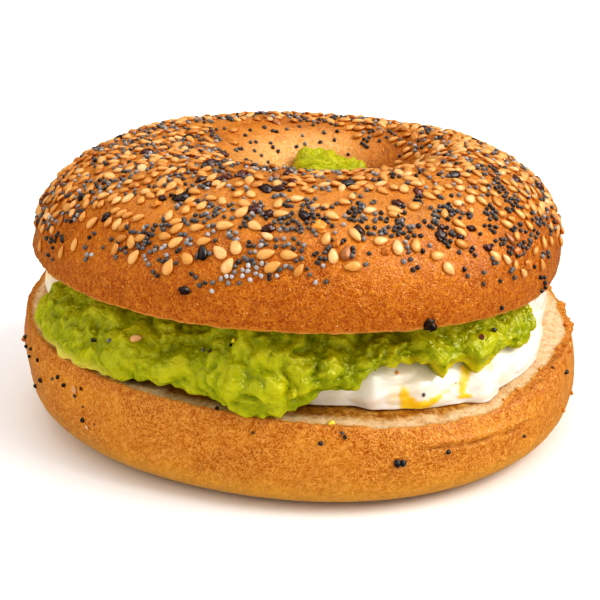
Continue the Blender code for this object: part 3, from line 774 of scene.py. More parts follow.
def make_avocado():
    """The heap, the layer's top, its hanging face and lining, and its underside."""
    heap = [ring_of(mound, share, 1.0 - 0.12 * share ** 3) for share in steps_between(0.0, 1.0, 18)]
    wall = [ring_of(mound, 1.0, share) for share in steps_between(0.86, 0.0, 12)]
    flat = [ring_of(avocado_flat, share, True) for share in steps_between(0.06, 0.96, 12)]
    face = [ring_of(avocado_face, share) for share in steps_between(1.0, 0.0, 46)]
    lining = [ring_of(avocado_lining, share) for share in steps_between(0.0, 0.9, 8)]
    under = [ring_of(avocado_flat, share, False) for share in steps_between(1.0, 0.0, 4)]
    rings = heap + wall + flat + face + lining + under
    first_face = len(heap) + len(wall) + len(flat)

    def zones_of(point, angle, row):
        return mash(point)[1], fringe(angle, row), yolky(angle, row)

    def fringe(angle, row):
        """The pale smear along the low edge at the left."""
        share = 1 - (row - first_face) / (len(face) - 1)
        if not 0 <= share <= 1:
            return 0.0
        degrees = math.degrees(angle)
        low = 1 - smooth(share, 0.02, 0.24)
        return low * smooth(degrees, -176, -171) * (1 - smooth(degrees, -142, -126))

    def yolky(angle, row):
        """Yolk mixed into the hanging tips at the front right."""
        share = 1 - (row - first_face) / (len(face) - 1)
        if not 0 <= share <= 1:
            return 0.2 if row < len(heap) else 0.0
        degrees = math.degrees(angle)
        return (1 - smooth(share, 0.0, 0.3)) * smooth(degrees, -76, -66) * (1 - smooth(degrees, -50, -44))

    def relief(point, angle, row):
        height = mash(point)[0]
        if row < len(heap):
            return height * (1 - 0.8 * smooth(row, len(heap) - 5, len(heap))) * 0.8 * MM
        if first_face <= row < first_face + len(face):
            share = (row - first_face) / (len(face) - 1)
            thin = 1 - 0.5 * smooth(-point.x, 44 * MM, 50 * MM)
            thin *= 1 - 0.6 * smooth(-math.degrees(angle), 166, 171)
            raised = thin * height * (0.45 + 0.55 * smooth(share, 0.0, 0.12))
            return raised * (1 - 0.4 * smooth(share, 0.85, 1.0)) * MM
        return 0.0

    made = rolled(AVOCADO_STEPS, len(rings) - 1, lambda angle, row: rings[row](angle), ring=False)
    dressed(made, zones_of, relief)
    return as_object("avocado_mash", made)


avocado_mash = make_avocado()
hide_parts("avocado")

# %% [markdown]
# ## Camera
# The photographer stood close, so the near edge looks larger than the far one. The camera stands at the
# distance and height that gave both halves the right ellipses, and looks at the middle of the sandwich.

# %% Place the camera
LOOK_AT = Vector((0, 0, 19.4 * MM)) + TO_MIDDLE
CAMERA_DISTANCE = 288 * MM
CAMERA_HEIGHT = math.radians(21.3)
SENSOR_WIDTH = 36
FOCAL_LENGTH = 85.74
back = Vector((0, -math.cos(CAMERA_HEIGHT), math.sin(CAMERA_HEIGHT)))
lens = bpy.data.cameras.new("camera")
lens.sensor_width = SENSOR_WIDTH
lens.lens = FOCAL_LENGTH
lens.clip_start = 10 * MM
camera = bpy.data.objects.new("camera", lens)
bpy.context.scene.collection.objects.link(camera)
camera.location = LOOK_AT + back * CAMERA_DISTANCE
camera.rotation_euler = (-back).to_track_quat("-Z", "Y").to_euler()
bpy.context.scene.camera = camera
print("camera at", [round(1000 * c) for c in camera.location], "mm")

# %% [markdown]
# ## Seeds
# Thousands of seeds lie on the upper half. Scattering one seed as instances would be lost in an export, so
# one seed is modelled with operators, and its corner points are copied, turned and laid on the crust as
# arrays, all in one mesh for each kind. Each seed keeps a random colour of its own in an attribute, and on
# sesame seeds that colour is darkened at the low edge as painted shade, partly their own more orange edge.

# %% Find the crust under a place on the ring
def tree_of(piece):
    """A search tree of a piece's faces, which finds the nearest place on it."""
    faces = [p.vertices for p in piece.data.polygons]
    return BVHTree.FromPolygons([v.co for v in piece.data.vertices], faces)


top_tree = tree_of(bread_top)
bottom_tree = tree_of(bread_bottom)


def on_top(degrees, tube):
    """Place and normal on the upper crust. tube is 0 at the bulge, 90 at the crest and 180 in the hole."""
    angle, along = math.radians(degrees), math.radians(tube)
    inner = tube > 90
    reach = CREST_RADIUS - HOLE_RADIUS if inner else UPPER_BULGE_RADIUS - CREST_RADIUS
    floor = HOLE_NECK_RISE if inner else UPPER_BULGE_RISE
    radius = CREST_RADIUS + reach * math.cos(along)
    height = floor + (CREST_RISE - floor) * math.sin(along) if tube >= 0 else floor + tube / 18 * 3.6 * MM
    place, normal, _, _ = top_tree.find_nearest(upper_point(radius, height, angle) + TO_MIDDLE)
    return place, normal


print("at the back the crust of the crest was found %.1f mm up" % (1000 * on_top(90, 90)[0].z))

# %% Lay copies of one seed as a single mesh
def copies(name, shape, seeds, rim=(1.0, 1.0, 1.0)):
    """One mesh of many seeds: place, normal, turn, lean, size and colour. rim darkens the low edge of each,
    as painted shade that is partly the seed's own more orange edge.
    """
    corners = np.array([v.co for v in shape.verts])
    raised = np.clip(corners[:, 2:] / corners[:, 2].max(), 0.0, 1.0) ** 0.7
    # Painted shade: the low edge of each seed takes the rim colour and its top keeps the seed's own colour.
    shade = np.array(rim) * (1 - raised) + raised
    faces = [[v.index for v in face.verts] for face in shape.faces]
    points, polygons, colours = [], [], []
    for number, (place, normal, turn, lean, size, colour) in enumerate(seeds):
        stand = normal.to_track_quat("Z", "Y").to_matrix()
        turned = stand @ Matrix.Rotation(turn, 3, "Z") @ Matrix.Rotation(lean, 3, "Y")
        points.append(corners * np.array(size) @ np.array(turned).T + np.array(place))
        polygons += [[index + number * len(corners) for index in face] for face in faces]
        colours.append(np.hstack([shade * np.array(colour), np.ones((len(corners), 1))]))
    mesh = bpy.data.meshes.new(name)
    mesh.from_pydata(np.concatenate(points).tolist(), [], polygons)
    layer = mesh.attributes.new("tone", "FLOAT_COLOR", "POINT")
    layer.data.foreach_set("color", np.concatenate(colours).astype(np.float32).ravel())
    mesh.shade_smooth()
    piece = bpy.data.objects.new(name, mesh)
    bpy.context.scene.collection.objects.link(piece)
    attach(piece, "root")
    print(name, len(seeds), "pieces", len(mesh.polygons), "faces")
    return piece


def tint(stops, share):
    """The colour at this share of the way through evenly spaced stops."""
    step = min(0.9999, max(0.0, share)) * (len(stops) - 1)
    low, high = stops[int(step)], stops[int(step) + 1]
    return tuple(a + (b - a) * (step % 1) for a, b in zip(low, high))


# %% [markdown]
# ### Three kinds of seed
# A sesame seed is a flat drop, a poppy seed a dented ball, and the burnt bits are crumpled chips. Each starts
# as a sphere with few faces, whose points a short rule moves, because it is repeated hundreds of times.

# %% Shapes of the seeds
def sesame_shape():
    """A flat drop: blunt at one end and pointed at the other, fuller towards the blunt end."""
    made = bmesh.new()
    bmesh.ops.create_uvsphere(made, u_segments=10, v_segments=7, radius=1.0)
    made.verts.index_update()
    for vertex in made.verts:
        x, y, z = vertex.co.z, vertex.co.x, vertex.co.y
        narrow = 1 - 0.24 * x - 0.10 * x * x
        thick = z * (1 - 0.20 * x) * (1.0 if z > 0 else 0.7)
        vertex.co = Vector((x + 0.06 * max(0.0, x) ** 3, y * narrow, thick))
    return made


def poppy_shape():
    """A tiny kidney with a dimple in its side."""
    made = bmesh.new()
    bmesh.ops.create_icosphere(made, subdivisions=2, radius=1.0)
    for vertex in made.verts:
        x, y, z = vertex.co
        inward = 0.30 * math.exp(-((y - 1) ** 2 + x * x + z * z) / 0.35)
        vertex.co = Vector((x, (y - inward) * 0.86, z * 0.82))
    made.verts.index_update()
    return made


def flake_shape(number):
    """A broken, crumpled chip."""
    made = bmesh.new()
    bmesh.ops.create_icosphere(made, subdivisions=3, radius=1.0)
    for vertex in made.verts:
        direction = vertex.co.normalized()
        rough = noise.noise(direction * 1.3 + Vector((number * 7.3, 0, 0)))
        fine = noise.noise(direction * 3.4 + Vector((0, number * 3.1, 0)))
        vertex.co = direction * (1 + 0.55 * rough + 0.28 * fine)
    made.verts.index_update()
    return made


one_seed = sesame_shape()
print(len(one_seed.faces), "faces on a sesame seed")
one_seed.free()

# %% [markdown]
# ### Seeds seen from near
# The front of the ring is what everyone looks at, so its larger seeds are laid one at a time from a
# table: where each lies, which way its tip points and how toasted it is. The rest is dealt at random
# afterwards, and keeps clear of these.

# %% Sesame seeds that were laid one by one
# Each is degrees round the ring, tube angle, turn of its tip in degrees, tone and size.
SESAME_BY_HAND = (
    (-115, 19, 84, 0.6, 1.1), (-111.5, 25, 147, 0.5, 1), (-115, 32.5, 51, 0.7, 1.05),
    (-123.5, 20.5, 63, 0.75, 1.05), (-125.5, 28, 126, 0.6, 1), (-118, 34.5, 3, 0.4, 0.95),
    (-116, 40, 63, 0.45, 1), (-111.5, 42, 15, 0.6, 0.95), (-109, 35, 18, 0.5, 0.95),
    (-105, 30, 141, 0.85, 1.05), (-102, 33.5, 111, 0.8, 1.05), (-103, 23.5, 69, 0.85, 1.05),
    (-105.5, 45, 12, 0.7, 1.1), (-103, 54, 66, 0.75, 1.1), (-99, 46.5, 330, 0.75, 1.05),
    (-96, 41, 147, 0.95, 0.85), (-96, 31, 18, 0.6, 1.15), (-91.5, 31, 357, 0.6, 1.05),
    (-94.5, 24.5, 33, 0.5, 1.1), (-89.5, 23, 57, 0.35, 0.9), (-139.5, 32, 54, 0.7, 1),
    (-142, 17, 102, 0.7, 0.9), (-146.5, 8.5, 87, 0.5, 0.9), (-159.5, 1.5, 93, 0.5, 0.9),
    (-131.5, 35, 93, 0.75, 0.9), (-129.5, 35, 72, 0.25, 0.9), (-134.5, 35, 102, 0.4, 0.85),
    (-128.5, 28.5, 33, 0.2, 0.8), (-129, 22.5, 102, 0.35, 0.95), (-123.5, 31, 30, 0.4, 0.85),
    (-135, 51.5, 90, 0.85, 1.05), (-130.5, 41.5, 30, 0.5, 0.8), (-132.5, 41.5, 57, 0.5, 0.8),
    (-127, 41.5, 39, 0.6, 0.85), (-130.5, 52, 120, 0.5, 0.8), (-139.5, 49, 81, 0.45, 0.9),
    (-146.5, 41, 135, 0.5, 0.9), (-142.5, 42, 129, 0.4, 0.7), (-141, 43.5, 111, 0.4, 0.7),
    (-135, 42.5, 42, 0.5, 0.75), (-119.5, 46, 99, 0.8, 0.9), (-116.5, 51.5, 96, 0.6, 0.85),
    (-113.5, 55.5, 87, 0.7, 0.9), (-109.5, 60, 123, 0.7, 0.85), (-113, 61, 357, 0.55, 0.85),
    (-119, 63.5, 9, 0.5, 0.9), (-117.5, 57.5, 66, 0.5, 0.85), (-117, 43.5, 36, 0.5, 0.85),
    (-127.5, 59, 99, 0.7, 0.85), (-129.5, 56, 354, 0.5, 0.8), (-129.5, 60, 24, 0.4, 0.7),
    (-116.5, 71.5, 150, 0.85, 0.95), (-107, 65.5, 69, 0.6, 0.9), (-104, 66.5, 114, 0.75, 0.95),
    (-95.5, 61, 81, 0.75, 0.95), (-91.5, 64.5, 24, 0.85, 0.95), (-94, 54.5, 18, 0.65, 1),
    (-103.5, 59.5, 339, 0.55, 1), (-89, 71, 30, 0.5, 0.8), (-138.5, 59.5, 63, 0.2, 0.8),
    (-137.5, 60, 132, 0.3, 0.7), (-165, 37.5, 135, 0.5, 0.75), (-155.5, 40.5, 156, 0.5, 0.8),
    (-158.5, 45, 42, 0.45, 0.7), (-160.5, 29, 78, 0.5, 0.85), (-152.5, 25.5, 99, 0.15, 0.8),
    (-144, 33.5, 111, 0.5, 0.75), (-154.5, 18, 156, 0.6, 0.75), (-164, 23.5, 147, 0.6, 0.75),
    (-144, 54, 90, 0.5, 0.8), (-139, 55, 42, 0.4, 0.7), (-160.5, 14, 144, 0.6, 0.8),
    (-84, 40, 69, 0.6, 0.95), (-83, 30.5, 93, 0.85, 1), (-79.5, 25, 186, 0.5, 1.1),
    (-78, 42, 288, 0.7, 1.1), (-73, 38, 6, 0.8, 0.95), (-70, 33.5, 78, 0.9, 1.05),
    (-66, 33.5, 60, 0.5, 1), (-62, 26.5, 354, 0.6, 1.05), (-60.5, 19, 306, 0.85, 0.95),
    (-54.5, 36.5, 123, 0.65, 0.95), (-55.5, 30.5, 327, 0.3, 1), (-53.5, 41, 309, 0.55, 0.95),
    (-55.5, 48.5, 54, 0.5, 0.85), (-49.5, 53, 354, 0.97, 0.9), (-48.5, 20.5, 129, 0.65, 0.95),
    (-45.5, 17, 123, 1, 0.8), (-43, 13, 51, 0.5, 0.75), (-40.5, 7.5, 132, 0.8, 0.75),
    (-32, 6.5, 105, 0.5, 0.85), (-40, 34, 129, 0.7, 0.9), (-37.5, 35.5, 144, 0.4, 0.75),
    (-33, 36, 108, 0.75, 0.9), (-32.5, 28.5, 87, 0.6, 0.8), (-39, 40, 351, 0.5, 0.8),
    (-39, 26.5, 42, 0.6, 0.8), (-29.5, 16.5, 66, 0.6, 0.85), (-67.5, 55, 324, 0.6, 1.05),
    (-73.5, 56, 6, 0.9, 0.9), (-82.5, 53.5, 315, 0.75, 1), (-79.5, 62.5, 351, 0.5, 0.9),
    (-62, 56, 357, 0.4, 1.05), (-56.5, 61.5, 297, 0.5, 0.95), (-45, 62, 357, 0.8, 0.85),
    (-42.5, 57.5, 306, 0.5, 0.9), (-37.5, 57, 6, 0.6, 0.8), (-84, 60, 51, 0.5, 0.85),
    (-69, 70, 297, 0.5, 0.9), (-42, 50.5, 279, 0.7, 0.85), (-68, 52, 336, 0.5, 0.85),
    (-19, 38.5, 342, 0.6, 0.8), (-23.5, 31.5, 54, 0.5, 0.75), (-16, 8, 63, 0.5, 0.8),
    (-25, 14.5, 51, 0.5, 0.7), (-26, 49.5, 288, 0.55, 0.8), (-26.5, 42.5, 285, 0.5, 0.75),
    (-35.5, 52, 282, 0.5, 0.8), (-34, 15, 21, 0.5, 0.75), (-21.5, 20.5, 51, 0.5, 0.75),
    (-27.5, 37.5, 351, 0.5, 0.75), (-15.5, 29, 33, 0.5, 0.7), (-53.5, 62.5, 0, 0.5, 0.8),
    (-77.5, 66.5, 72, 0.75, 0.8), (-48.5, 65, 339, 0.4, 0.8), (-91, 73.5, 78, 0.6, 0.8),
    (-86.5, 59.5, 27, 0.45, 0.8), (-47.5, 47, 24, 0.7, 0.6), (50.5, 116.5, 51, 0.6, 0.8),
    (43, 120.5, 45, 0.5, 0.8), (27.5, 131.5, 66, 0.5, 0.85), (74, 120, 33, 0.3, 0.8),
    (78, 110.5, 45, 0.5, 0.9), (160, 115, 333, 0.3, 0.7), (144.5, 105.5, 18, 0.3, 0.8),
    (82, 105, 45, 0.4, 0.8), (32, 140, 27, 0.6, 0.7),
)
print(len(SESAME_BY_HAND), "sesame seeds in the table")

# %% Odd seeds and burnt bits that were laid one by one
ODD_SEEDS_BY_HAND = {
    "dark": (
        (-108.5, 29, 108, 0, 1.05),
    ),
    "tan": (
        (-80.5, 32, 69, 0.1, 1.05), (-41.5, 26, 105, 0, 0.95),
    ),
    "flake": (
        (-120.5, 59, 57, 0, 1.35), (-101.5, 72, 327, 0, 1.25), (-98, 72.5, 33, 0.25, 1.05),
        (-100, 56.5, 24, 0.45, 1.1), (-96, 45.5, 27, 0.3, 0.95), (-88.5, 53.5, 312, 0, 0.85),
        (-96.5, 54.5, 36, 0.3, 0.8), (-111, 8, 12, 0.02, 0.8), (-125.5, 56, 21, 0.2, 0.75),
        (-118.5, 70.5, 90, 0.2, 0.85), (-136.5, 37.5, 99, 0.05, 0.75), (-151, 43, 129, 0.05, 0.7),
        (-66, 58.5, 288, 0.4, 0.95), (-77, 44, 279, 0.1, 0.95), (-59.5, 37, 66, 0.15, 1.1),
        (-88.5, 53, 306, 0.05, 0.85), (-51, 37.5, 342, 0.3, 0.7), (-49.5, 25.5, 345, 0.35, 0.75),
        (-55, 34, 348, 0.2, 0.6), (-79.5, 79, 24, 0, 1.35), (-58.5, 41, 33, 0.3, 0.6),
    ),
    "chip": (
        (-125.5, 52, 129, 0.8, 0.85), (-116, 55, 27, 0.9, 0.7), (-85.5, 47.5, 66, 1, 1.1),
        (-41, 19, 102, 0.35, 0.85), (-72.5, 32.5, 48, 0.45, 0.75), (-38, 10.5, 348, 0.7, 1),
        (-85, 46.5, 336, 1, 1.1), (-82, 37.5, 60, 0.6, 0.7), (-50, 48.5, 12, 0.5, 0.9),
    ),
}
print({kind: len(table) for kind, table in ODD_SEEDS_BY_HAND.items()})

# %% Poppy seeds that were laid one by one
# Each is degrees round the ring, tube angle and tone.
POPPY_BY_HAND = (
    (-137, 27, 0.4), (-138, 24, 0.1), (-138, 18, 0.5), (-136.5, 14.5, 0.75), (-135, 15.5, 0.95),
    (-136.5, 11.5, 0.6), (-132.5, 21, 0.4), (-131, 26.5, 0.3), (-129, 26, 0.4), (-153, 1, 0.15),
    (-151, 8, 0.2), (-148.5, 18, 0.2), (-150, 0.5, 0.5), (-156, 10.5, 0.3), (-151, 18.5, 0.3),
    (-147.5, 16, 0.2), (-153, 10.5, 0.1), (-151, 13, 0.1), (-151, 16.5, 0.2), (-153.5, 13, 0.4),
    (-128, 18, 0.6), (-127, 33, 0.4), (-126, 33.5, 0.5), (-124.5, 33.5, 0.6), (-124, 37, 1),
    (-123.5, 38, 0.6), (-121.5, 37, 0.4), (-122, 34, 0.1), (-123.5, 34.5, 0.2), (-121.5, 39.5, 0.2),
    (-128.5, 35, 0.3), (-127.5, 23, 0.4), (-126.5, 24.5, 0.2), (-126, 22, 0.5), (-123.5, 27, 0.3),
    (-122, 28, 0.5), (-123, 26, 0.5), (-122, 29.5, 0.5), (-122, 26, 0.6), (-121, 29.5, 0.2),
    (-122, 31.5, 0.4), (-120, 25, 0.6), (-121, 22.5, 0.8), (-120.5, 20.5, 0.8), (-119.5, 18.5, 0.7),
    (-118, 15, 0.4), (-117, 13.5, 0.1), (-119, 26.5, 0.7), (-119, 28, 0.3), (-117.5, 28, 0.9),
    (-117, 29.5, 0.9), (-116, 25, 0.8), (-117.5, 22, 0.4), (-116.5, 21.5, 0.4), (-115.5, 23, 0.3),
    (-113.5, 22, 0.4), (-114, 28, 0.1), (-113.5, 29.5, 0.3), (-112.5, 33, 0.7), (-111.5, 32.5, 0.8),
    (-112.5, 34.5, 0.8), (-112, 35.5, 0.6), (-113.5, 37.5, 0.5), (-114.5, 37, 0.5), (-121, 34, 0.3),
    (-109.5, 27.5, 0.5), (-109.5, 26, 0.3), (-107, 29, 0.6), (-110, 17.5, 0.1), (-109, 16, 0.4),
    (-108, 12, 0.4), (-107, 13.5, 0.15), (-105.5, 14, 0.6), (-105.5, 9.5, 0.95), (-104, 16.5, 0.8),
    (-103, 18, 1), (-102, 18, 0.95), (-102.5, 14.5, 0.7), (-100.5, 15, 0.5), (-101.5, 23.5, 0.6),
    (-101.5, 20.5, 0.7), (-100, 19, 1), (-100, 22, 0.9), (-99, 24.5, 1), (-99, 21.5, 0.9),
    (-98.5, 17, 0.95), (-97.5, 23.5, 0.8), (-98, 26, 0.5), (-99.5, 27.5, 0.5), (-100, 28.5, 0.6),
    (-98.5, 27.5, 0.3), (-97.5, 20.5, 0.85), (-96.5, 19.5, 0.9), (-96.5, 26, 0.95), (-95.5, 25.5, 0.7),
    (-101, 26, 0.1), (-99, 31.5, 0.6), (-98, 32, 0.9), (-98.5, 35, 0.4), (-99.5, 37, 0.2),
    (-99.5, 35, 0.15), (-97, 38, 0.6), (-97, 35.5, 0.9), (-96, 36.5, 0.5), (-95, 18, 0.1),
    (-95, 20, 0.15), (-93.5, 20, 0.95), (-93, 23, 0.4), (-92, 25, 0.8), (-91, 24.5, 0.6), (-90, 28, 0.5),
    (-89, 29.5, 0.6), (-88, 24, 0.3), (-87.5, 21, 0.5), (-86.5, 17, 0.9), (-94, 35.5, 0.3),
    (-92.5, 36, 0.6), (-91.5, 37, 0.8), (-90.5, 34.5, 0.3), (-89.5, 37.5, 0.4), (-89, 33.5, 0.4),
    (-88.5, 36.5, 0.8), (-94, 39.5, 0.5), (-92.5, 40, 0.8), (-90.5, 40, 0.4), (-86, 32.5, 0.1),
    (-85.5, 29.5, 0.2), (-86, 27, 0.2), (-108.5, 39, 0.9), (-107.5, 41, 0.8), (-106.5, 36, 0.3),
    (-102.5, 41.5, 0.8), (-104, 40.5, 0.8), (-103.5, 39, 0.6), (-102, 38, 0.9), (-102.5, 37, 0.6),
    (-104, 42, 0.4), (-102, 45, 0.1), (-101, 46, 0.3), (-101.5, 48, 0.4), (-109, 43.5, 0.8),
    (-108, 44.5, 0.6), (-110.5, 46, 0.5), (-112, 49.5, 0.4), (-111.5, 50.5, 0.5), (-111, 51.5, 0.8),
    (-110, 49, 0.6), (-109, 50.5, 0.4), (-113.5, 49.5, 0.3), (-112.5, 46, 0.4), (-113.5, 46, 0.4),
    (-115, 44.5, 0.5), (-115.5, 46, 0.4), (-114, 43.5, 0.6), (-119.5, 53, 0.8), (-119, 51.5, 0.5),
    (-119, 54.5, 0.6), (-120.5, 44.5, 0.6), (-120, 40, 0.5), (-120, 43, 0.3), (-119, 41, 0.5),
    (-118, 41, 0.4), (-119, 38, 0.4), (-115.5, 55.5, 0.7), (-115.5, 58, 0.3), (-114, 58.5, 0.4),
    (-114.5, 62, 0.6), (-111.5, 55, 0.7), (-111, 56.5, 0.5), (-109.5, 54.5, 0.5), (-109.5, 53, 0.4),
    (-109, 55.5, 0.5), (-107.5, 54.5, 0.8), (-107, 57.5, 0.4), (-105.5, 55.5, 0.5), (-106.5, 59, 0.6),
    (-112, 57.5, 0.4), (-108.5, 52, 0.6), (-106.5, 50.5, 0.4), (-104.5, 49.5, 0.6), (-104.5, 62, 0.6),
    (-101.5, 61, 0.7), (-101.5, 57.5, 0.4), (-99.5, 58, 0.7), (-100, 61.5, 0.6), (-100.5, 53.5, 0.9),
    (-100, 52.5, 0.7), (-101.5, 51, 0.1), (-100.5, 50, 0.4), (-99, 55.5, 0.6), (-99, 59, 0.6),
    (-98, 53.5, 0.5), (-97, 51.5, 0.3), (-97.5, 65.5, 0.5), (-97, 66.5, 0.7), (-96, 67.5, 0.6),
    (-95, 66.5, 0.8), (-93.5, 63, 0.6), (-92, 59.5, 0.5), (-94, 60.5, 0.3), (-93, 59.5, 0.2),
    (-95.5, 54.5, 0.6), (-94, 51.5, 0.4), (-93.5, 49.5, 0.6), (-93, 52, 0.4), (-92, 53, 0.5),
    (-91.5, 55, 0.3), (-92, 49, 0.3), (-91, 46, 0.6), (-92, 45, 0.6), (-93, 46.5, 0.5), (-91, 50.5, 0.3),
    (-95, 49.5, 0.5), (-93.5, 45, 0.8), (-90, 49.5, 0.5), (-89.5, 48, 0.4), (-89, 46, 0.5),
    (-88, 49.5, 0.3), (-87.5, 46.5, 0.5), (-90, 45, 0.3), (-89, 44, 0.6), (-87.5, 62.5, 0.6),
    (-87, 65, 0.5), (-86, 59, 0.7), (-87, 57.5, 0.8), (-87, 55, 0.4), (-86.5, 44.5, 0.6), (-89, 64, 0.6),
    (-88.5, 61.5, 0.5), (-86.5, 52.5, 0.3), (-85.5, 54, 0.1), (-85, 51.5, 0.1), (-84, 51.5, 0.1),
    (-84.5, 58, 0.3), (-83.5, 49.5, 0.4), (-89.5, 56.5, 0.2), (-89.5, 60, 0.5), (-88, 59, 0.4),
    (-81.5, 61.5, 0.5), (-82.5, 59, 0.5), (-79.5, 53, 0.8), (-80, 48, 0.9), (-82, 43.5, 0.8),
    (-82.5, 47.5, 0.2), (-86.5, 49.5, 0.4), (-86, 46.5, 0.3), (-86, 42.5, 0.7), (-84.5, 17.5, 0.3),
    (-85, 25.5, 0.9), (-86.5, 31.5, 0.1), (-84.5, 29, 0.3), (-84.5, 32.5, 0.5), (-84, 34.5, 0.3),
    (-83.5, 35.5, 0.4), (-83, 39.5, 0.2), (-79, 34.5, 0.1), (-79.5, 30.5, 0.5), (-79, 32.5, 0.3),
    (-76.5, 39.5, 0.7), (-80.5, 39, 0.05), (-81, 38, 0.1), (-76, 31.5, 0.15), (-77, 26, 0.6),
    (-76.5, 42.5, 0.3), (-75.5, 60.5, 0.6), (-75, 59.5, 0.4), (-76, 58.5, 0.4), (-76, 61.5, 0.2),
    (-72.5, 61, 0.6), (-72, 62, 0.3), (-78, 62.5, 0.1), (-77, 67.5, 0.3), (-75.5, 66, 0.5),
    (-77.5, 58, 0.3), (-77.5, 53, 0.2), (-78.5, 51, 0.1), (-77, 55.5, 0.3), (-76, 56, 0.2),
    (-77.5, 50, 0.4), (-76.5, 50.5, 0.7), (-75.5, 52.5, 0.8), (-76, 49.5, 0.3), (-75, 51, 0.6),
    (-75, 58, 0.7), (-78.5, 55.5, 0.1), (-73, 49.5, 0.6), (-72.5, 53.5, 0.7), (-71, 54, 0.1),
    (-71.5, 50.5, 0.4), (-70.5, 48.5, 0.3), (-70, 50, 0.1), (-71.5, 44, 0.6), (-73.5, 45.5, 0.3),
    (-75, 46, 0.02), (-74, 42, 0.7), (-72.5, 41.5, 0.7), (-72.5, 43, 0.4), (-71.5, 42, 0.5),
    (-75, 42.5, 0.3), (-69.5, 43, 0.3), (-70.5, 40, 0.4), (-69, 44.5, 0.4), (-68, 48.5, 0.2),
    (-68, 47, 0.3), (-67.5, 51, 0.2), (-67, 47.5, 0.7), (-66.5, 48.5, 0.2), (-67, 45.5, 0.4),
    (-68.5, 41.5, 0.4), (-68, 44, 0.2), (-67.5, 41, 0.3), (-66, 44, 0.6), (-65, 44, 0.7),
    (-66, 41.5, 0.3), (-65.5, 39, 0.1), (-67, 38.5, 0.3), (-68, 36, 0.9), (-68, 33, 0.7),
    (-68, 30.5, 0.5), (-63.5, 44, 0.15), (-64, 38.5, 0.2), (-61.5, 46, 0.2), (-65, 30, 0.05),
    (-69, 40.5, 0.3), (-70.5, 45, 0.4), (-57.5, 51, 0.6), (-56.5, 51, 0.4), (-55.5, 53.5, 0.3),
    (-58, 48, 0.6), (-57.5, 47, 0.4), (-59, 46.5, 0.8), (-59.5, 45, 0.4), (-58.5, 45, 0.6),
    (-61, 43, 0.2), (-60.5, 42, 0.5), (-59, 43.5, 0.4), (-54.5, 53, 0.4), (-56, 50, 0.3),
    (-58.5, 49, 0.5), (-57, 40.5, 0.1), (-55.5, 45, 0.05), (-56.5, 38, 0.2), (-57, 37, 0.3),
    (-59, 34.5, 0.3), (-59, 32, 0.15), (-58, 33, 0.15), (-59, 30.5, 0.1), (-56.5, 36, 0.3),
    (-59.5, 33, 0.2), (-63, 32.5, 0.7), (-60, 62.5, 0.1), (-61, 60, 0.1), (-60, 59, 0.15), (-59, 62, 0.2),
    (-61, 57.5, 0.3), (-60, 57.5, 0.3), (-61, 55.5, 0.2), (-53.5, 59.5, 0.4), (-49, 51.5, 0.4),
    (-53, 58.5, 0.6), (-58, 53.5, 0.6), (-65.5, 52.5, 0.3), (-65, 56.5, 0.2), (-49.5, 33.5, 0.1),
    (-47, 37, 0.15), (-45.5, 36, 0.15), (-44, 34.5, 0.1), (-45.5, 32, 0.1), (-46, 34, 0.3),
    (-53.5, 23.5, 0.2), (-53.5, 27, 0.05), (-54, 26, 0.1), (-57, 26.5, 0.4), (-57, 17.5, 0.05),
    (-56.5, 14, 0.4), (-52.5, 14, 0.5), (-53, 8.5, 0.3), (-48.5, 8, 0.15), (-47.5, -10.5, 0.05),
    (-48, 26, 0.3), (-46.5, 27.5, 0.3), (-44.5, 27.5, 0.3), (-45.5, 25, 0.2), (-49.5, 19.5, 0.5),
    (-48.5, 17, 0.6), (-49.5, 17, 0.4), (-44.5, 11.5, 0.6), (-44, 7, 0.5), (-45, 10.5, 0.5),
    (-43.5, 26.5, 0.4), (-44.5, 25, 0.3), (-43.5, 22.5, 0.1), (-44, 20, 0.15), (-43.5, 19, 0.4),
    (-42.5, 21, 0.3), (-39, 21.5, 0.4), (-40, 21, 0.3), (-38.5, 19.5, 0.3), (-37.5, 21.5, 0.2),
    (-37, 18, 0.5), (-39, 16.5, 0.4), (-40.5, 16.5, 0.2), (-41.5, 16.5, 0.1), (-69.5, 26, 0.7),
    (-68, 26.5, 0.5), (-67, 22, 0.05), (-68, 21, 0.2), (-35, 20, 0.4), (-35, 21.5, 0.6), (-36, 19, 0.3),
    (-33.5, 23.5, 0.5), (-31.5, 25, 0.1), (-30.5, 22.5, 0.3), (-32, 26, 0.2), (-36.5, 28, 0.4),
    (-35, 26, 0.2), (-39, 29, 0.3), (-39.5, 30.5, 0.1), (-38, 30.5, 0.5), (-35.5, 31, 0.3),
    (-28.5, 27.5, 0.6), (-29.5, 30, 0.4), (-25.5, 27.5, 0.2), (-28, 25.5, 0.4), (-25, 24.5, 0.5),
    (-32, 21, 0.4), (-21.5, 25.5, 0.5), (-22.5, 18.5, 0.2), (-23.5, 17, 0.5), (-31.5, 10.5, 0.8),
    (-28.5, 10.5, 0.5), (-31, 11.5, 0.3), (-28, 8, 0.3), (-35.5, 7.5, 0.1), (-33, 0.5, 0.05),
    (-30.5, -2, 0.15), (-30, -7, 0.1), (-29.5, -11.5, 0.2), (-31.5, -12.5, 0.1), (-42, 42.5, 0.6),
    (-44, 39.5, 0.4), (-42, 40, 0.4), (-42, 38.5, 0.3), (-43.5, 42.5, 0.3), (-44, 43.5, 0.4),
    (-40.5, 42.5, 0.3), (-40.5, 44.5, 0.2), (-40.5, 47, 0.3), (-42.5, 45.5, 0.2), (-48.5, 44.5, 0.5),
    (-50.5, 46.5, 0.6), (-52, 44.5, 0.3), (-49, 45.5, 0.1), (-49.5, 43.5, 0.4), (-51.5, 48.5, 0.5),
    (-52.5, 49.5, 0.3), (-52.5, 52, 0.5), (-52.5, 54, 0.1), (-53.5, 49, 0.2), (-53, 47.5, 0.4),
    (-54, 52, 0.3), (-53.5, 50.5, 0.5), (-54, 47, 0.6), (-49, 50, 0.3), (-33.5, 46, 0.3),
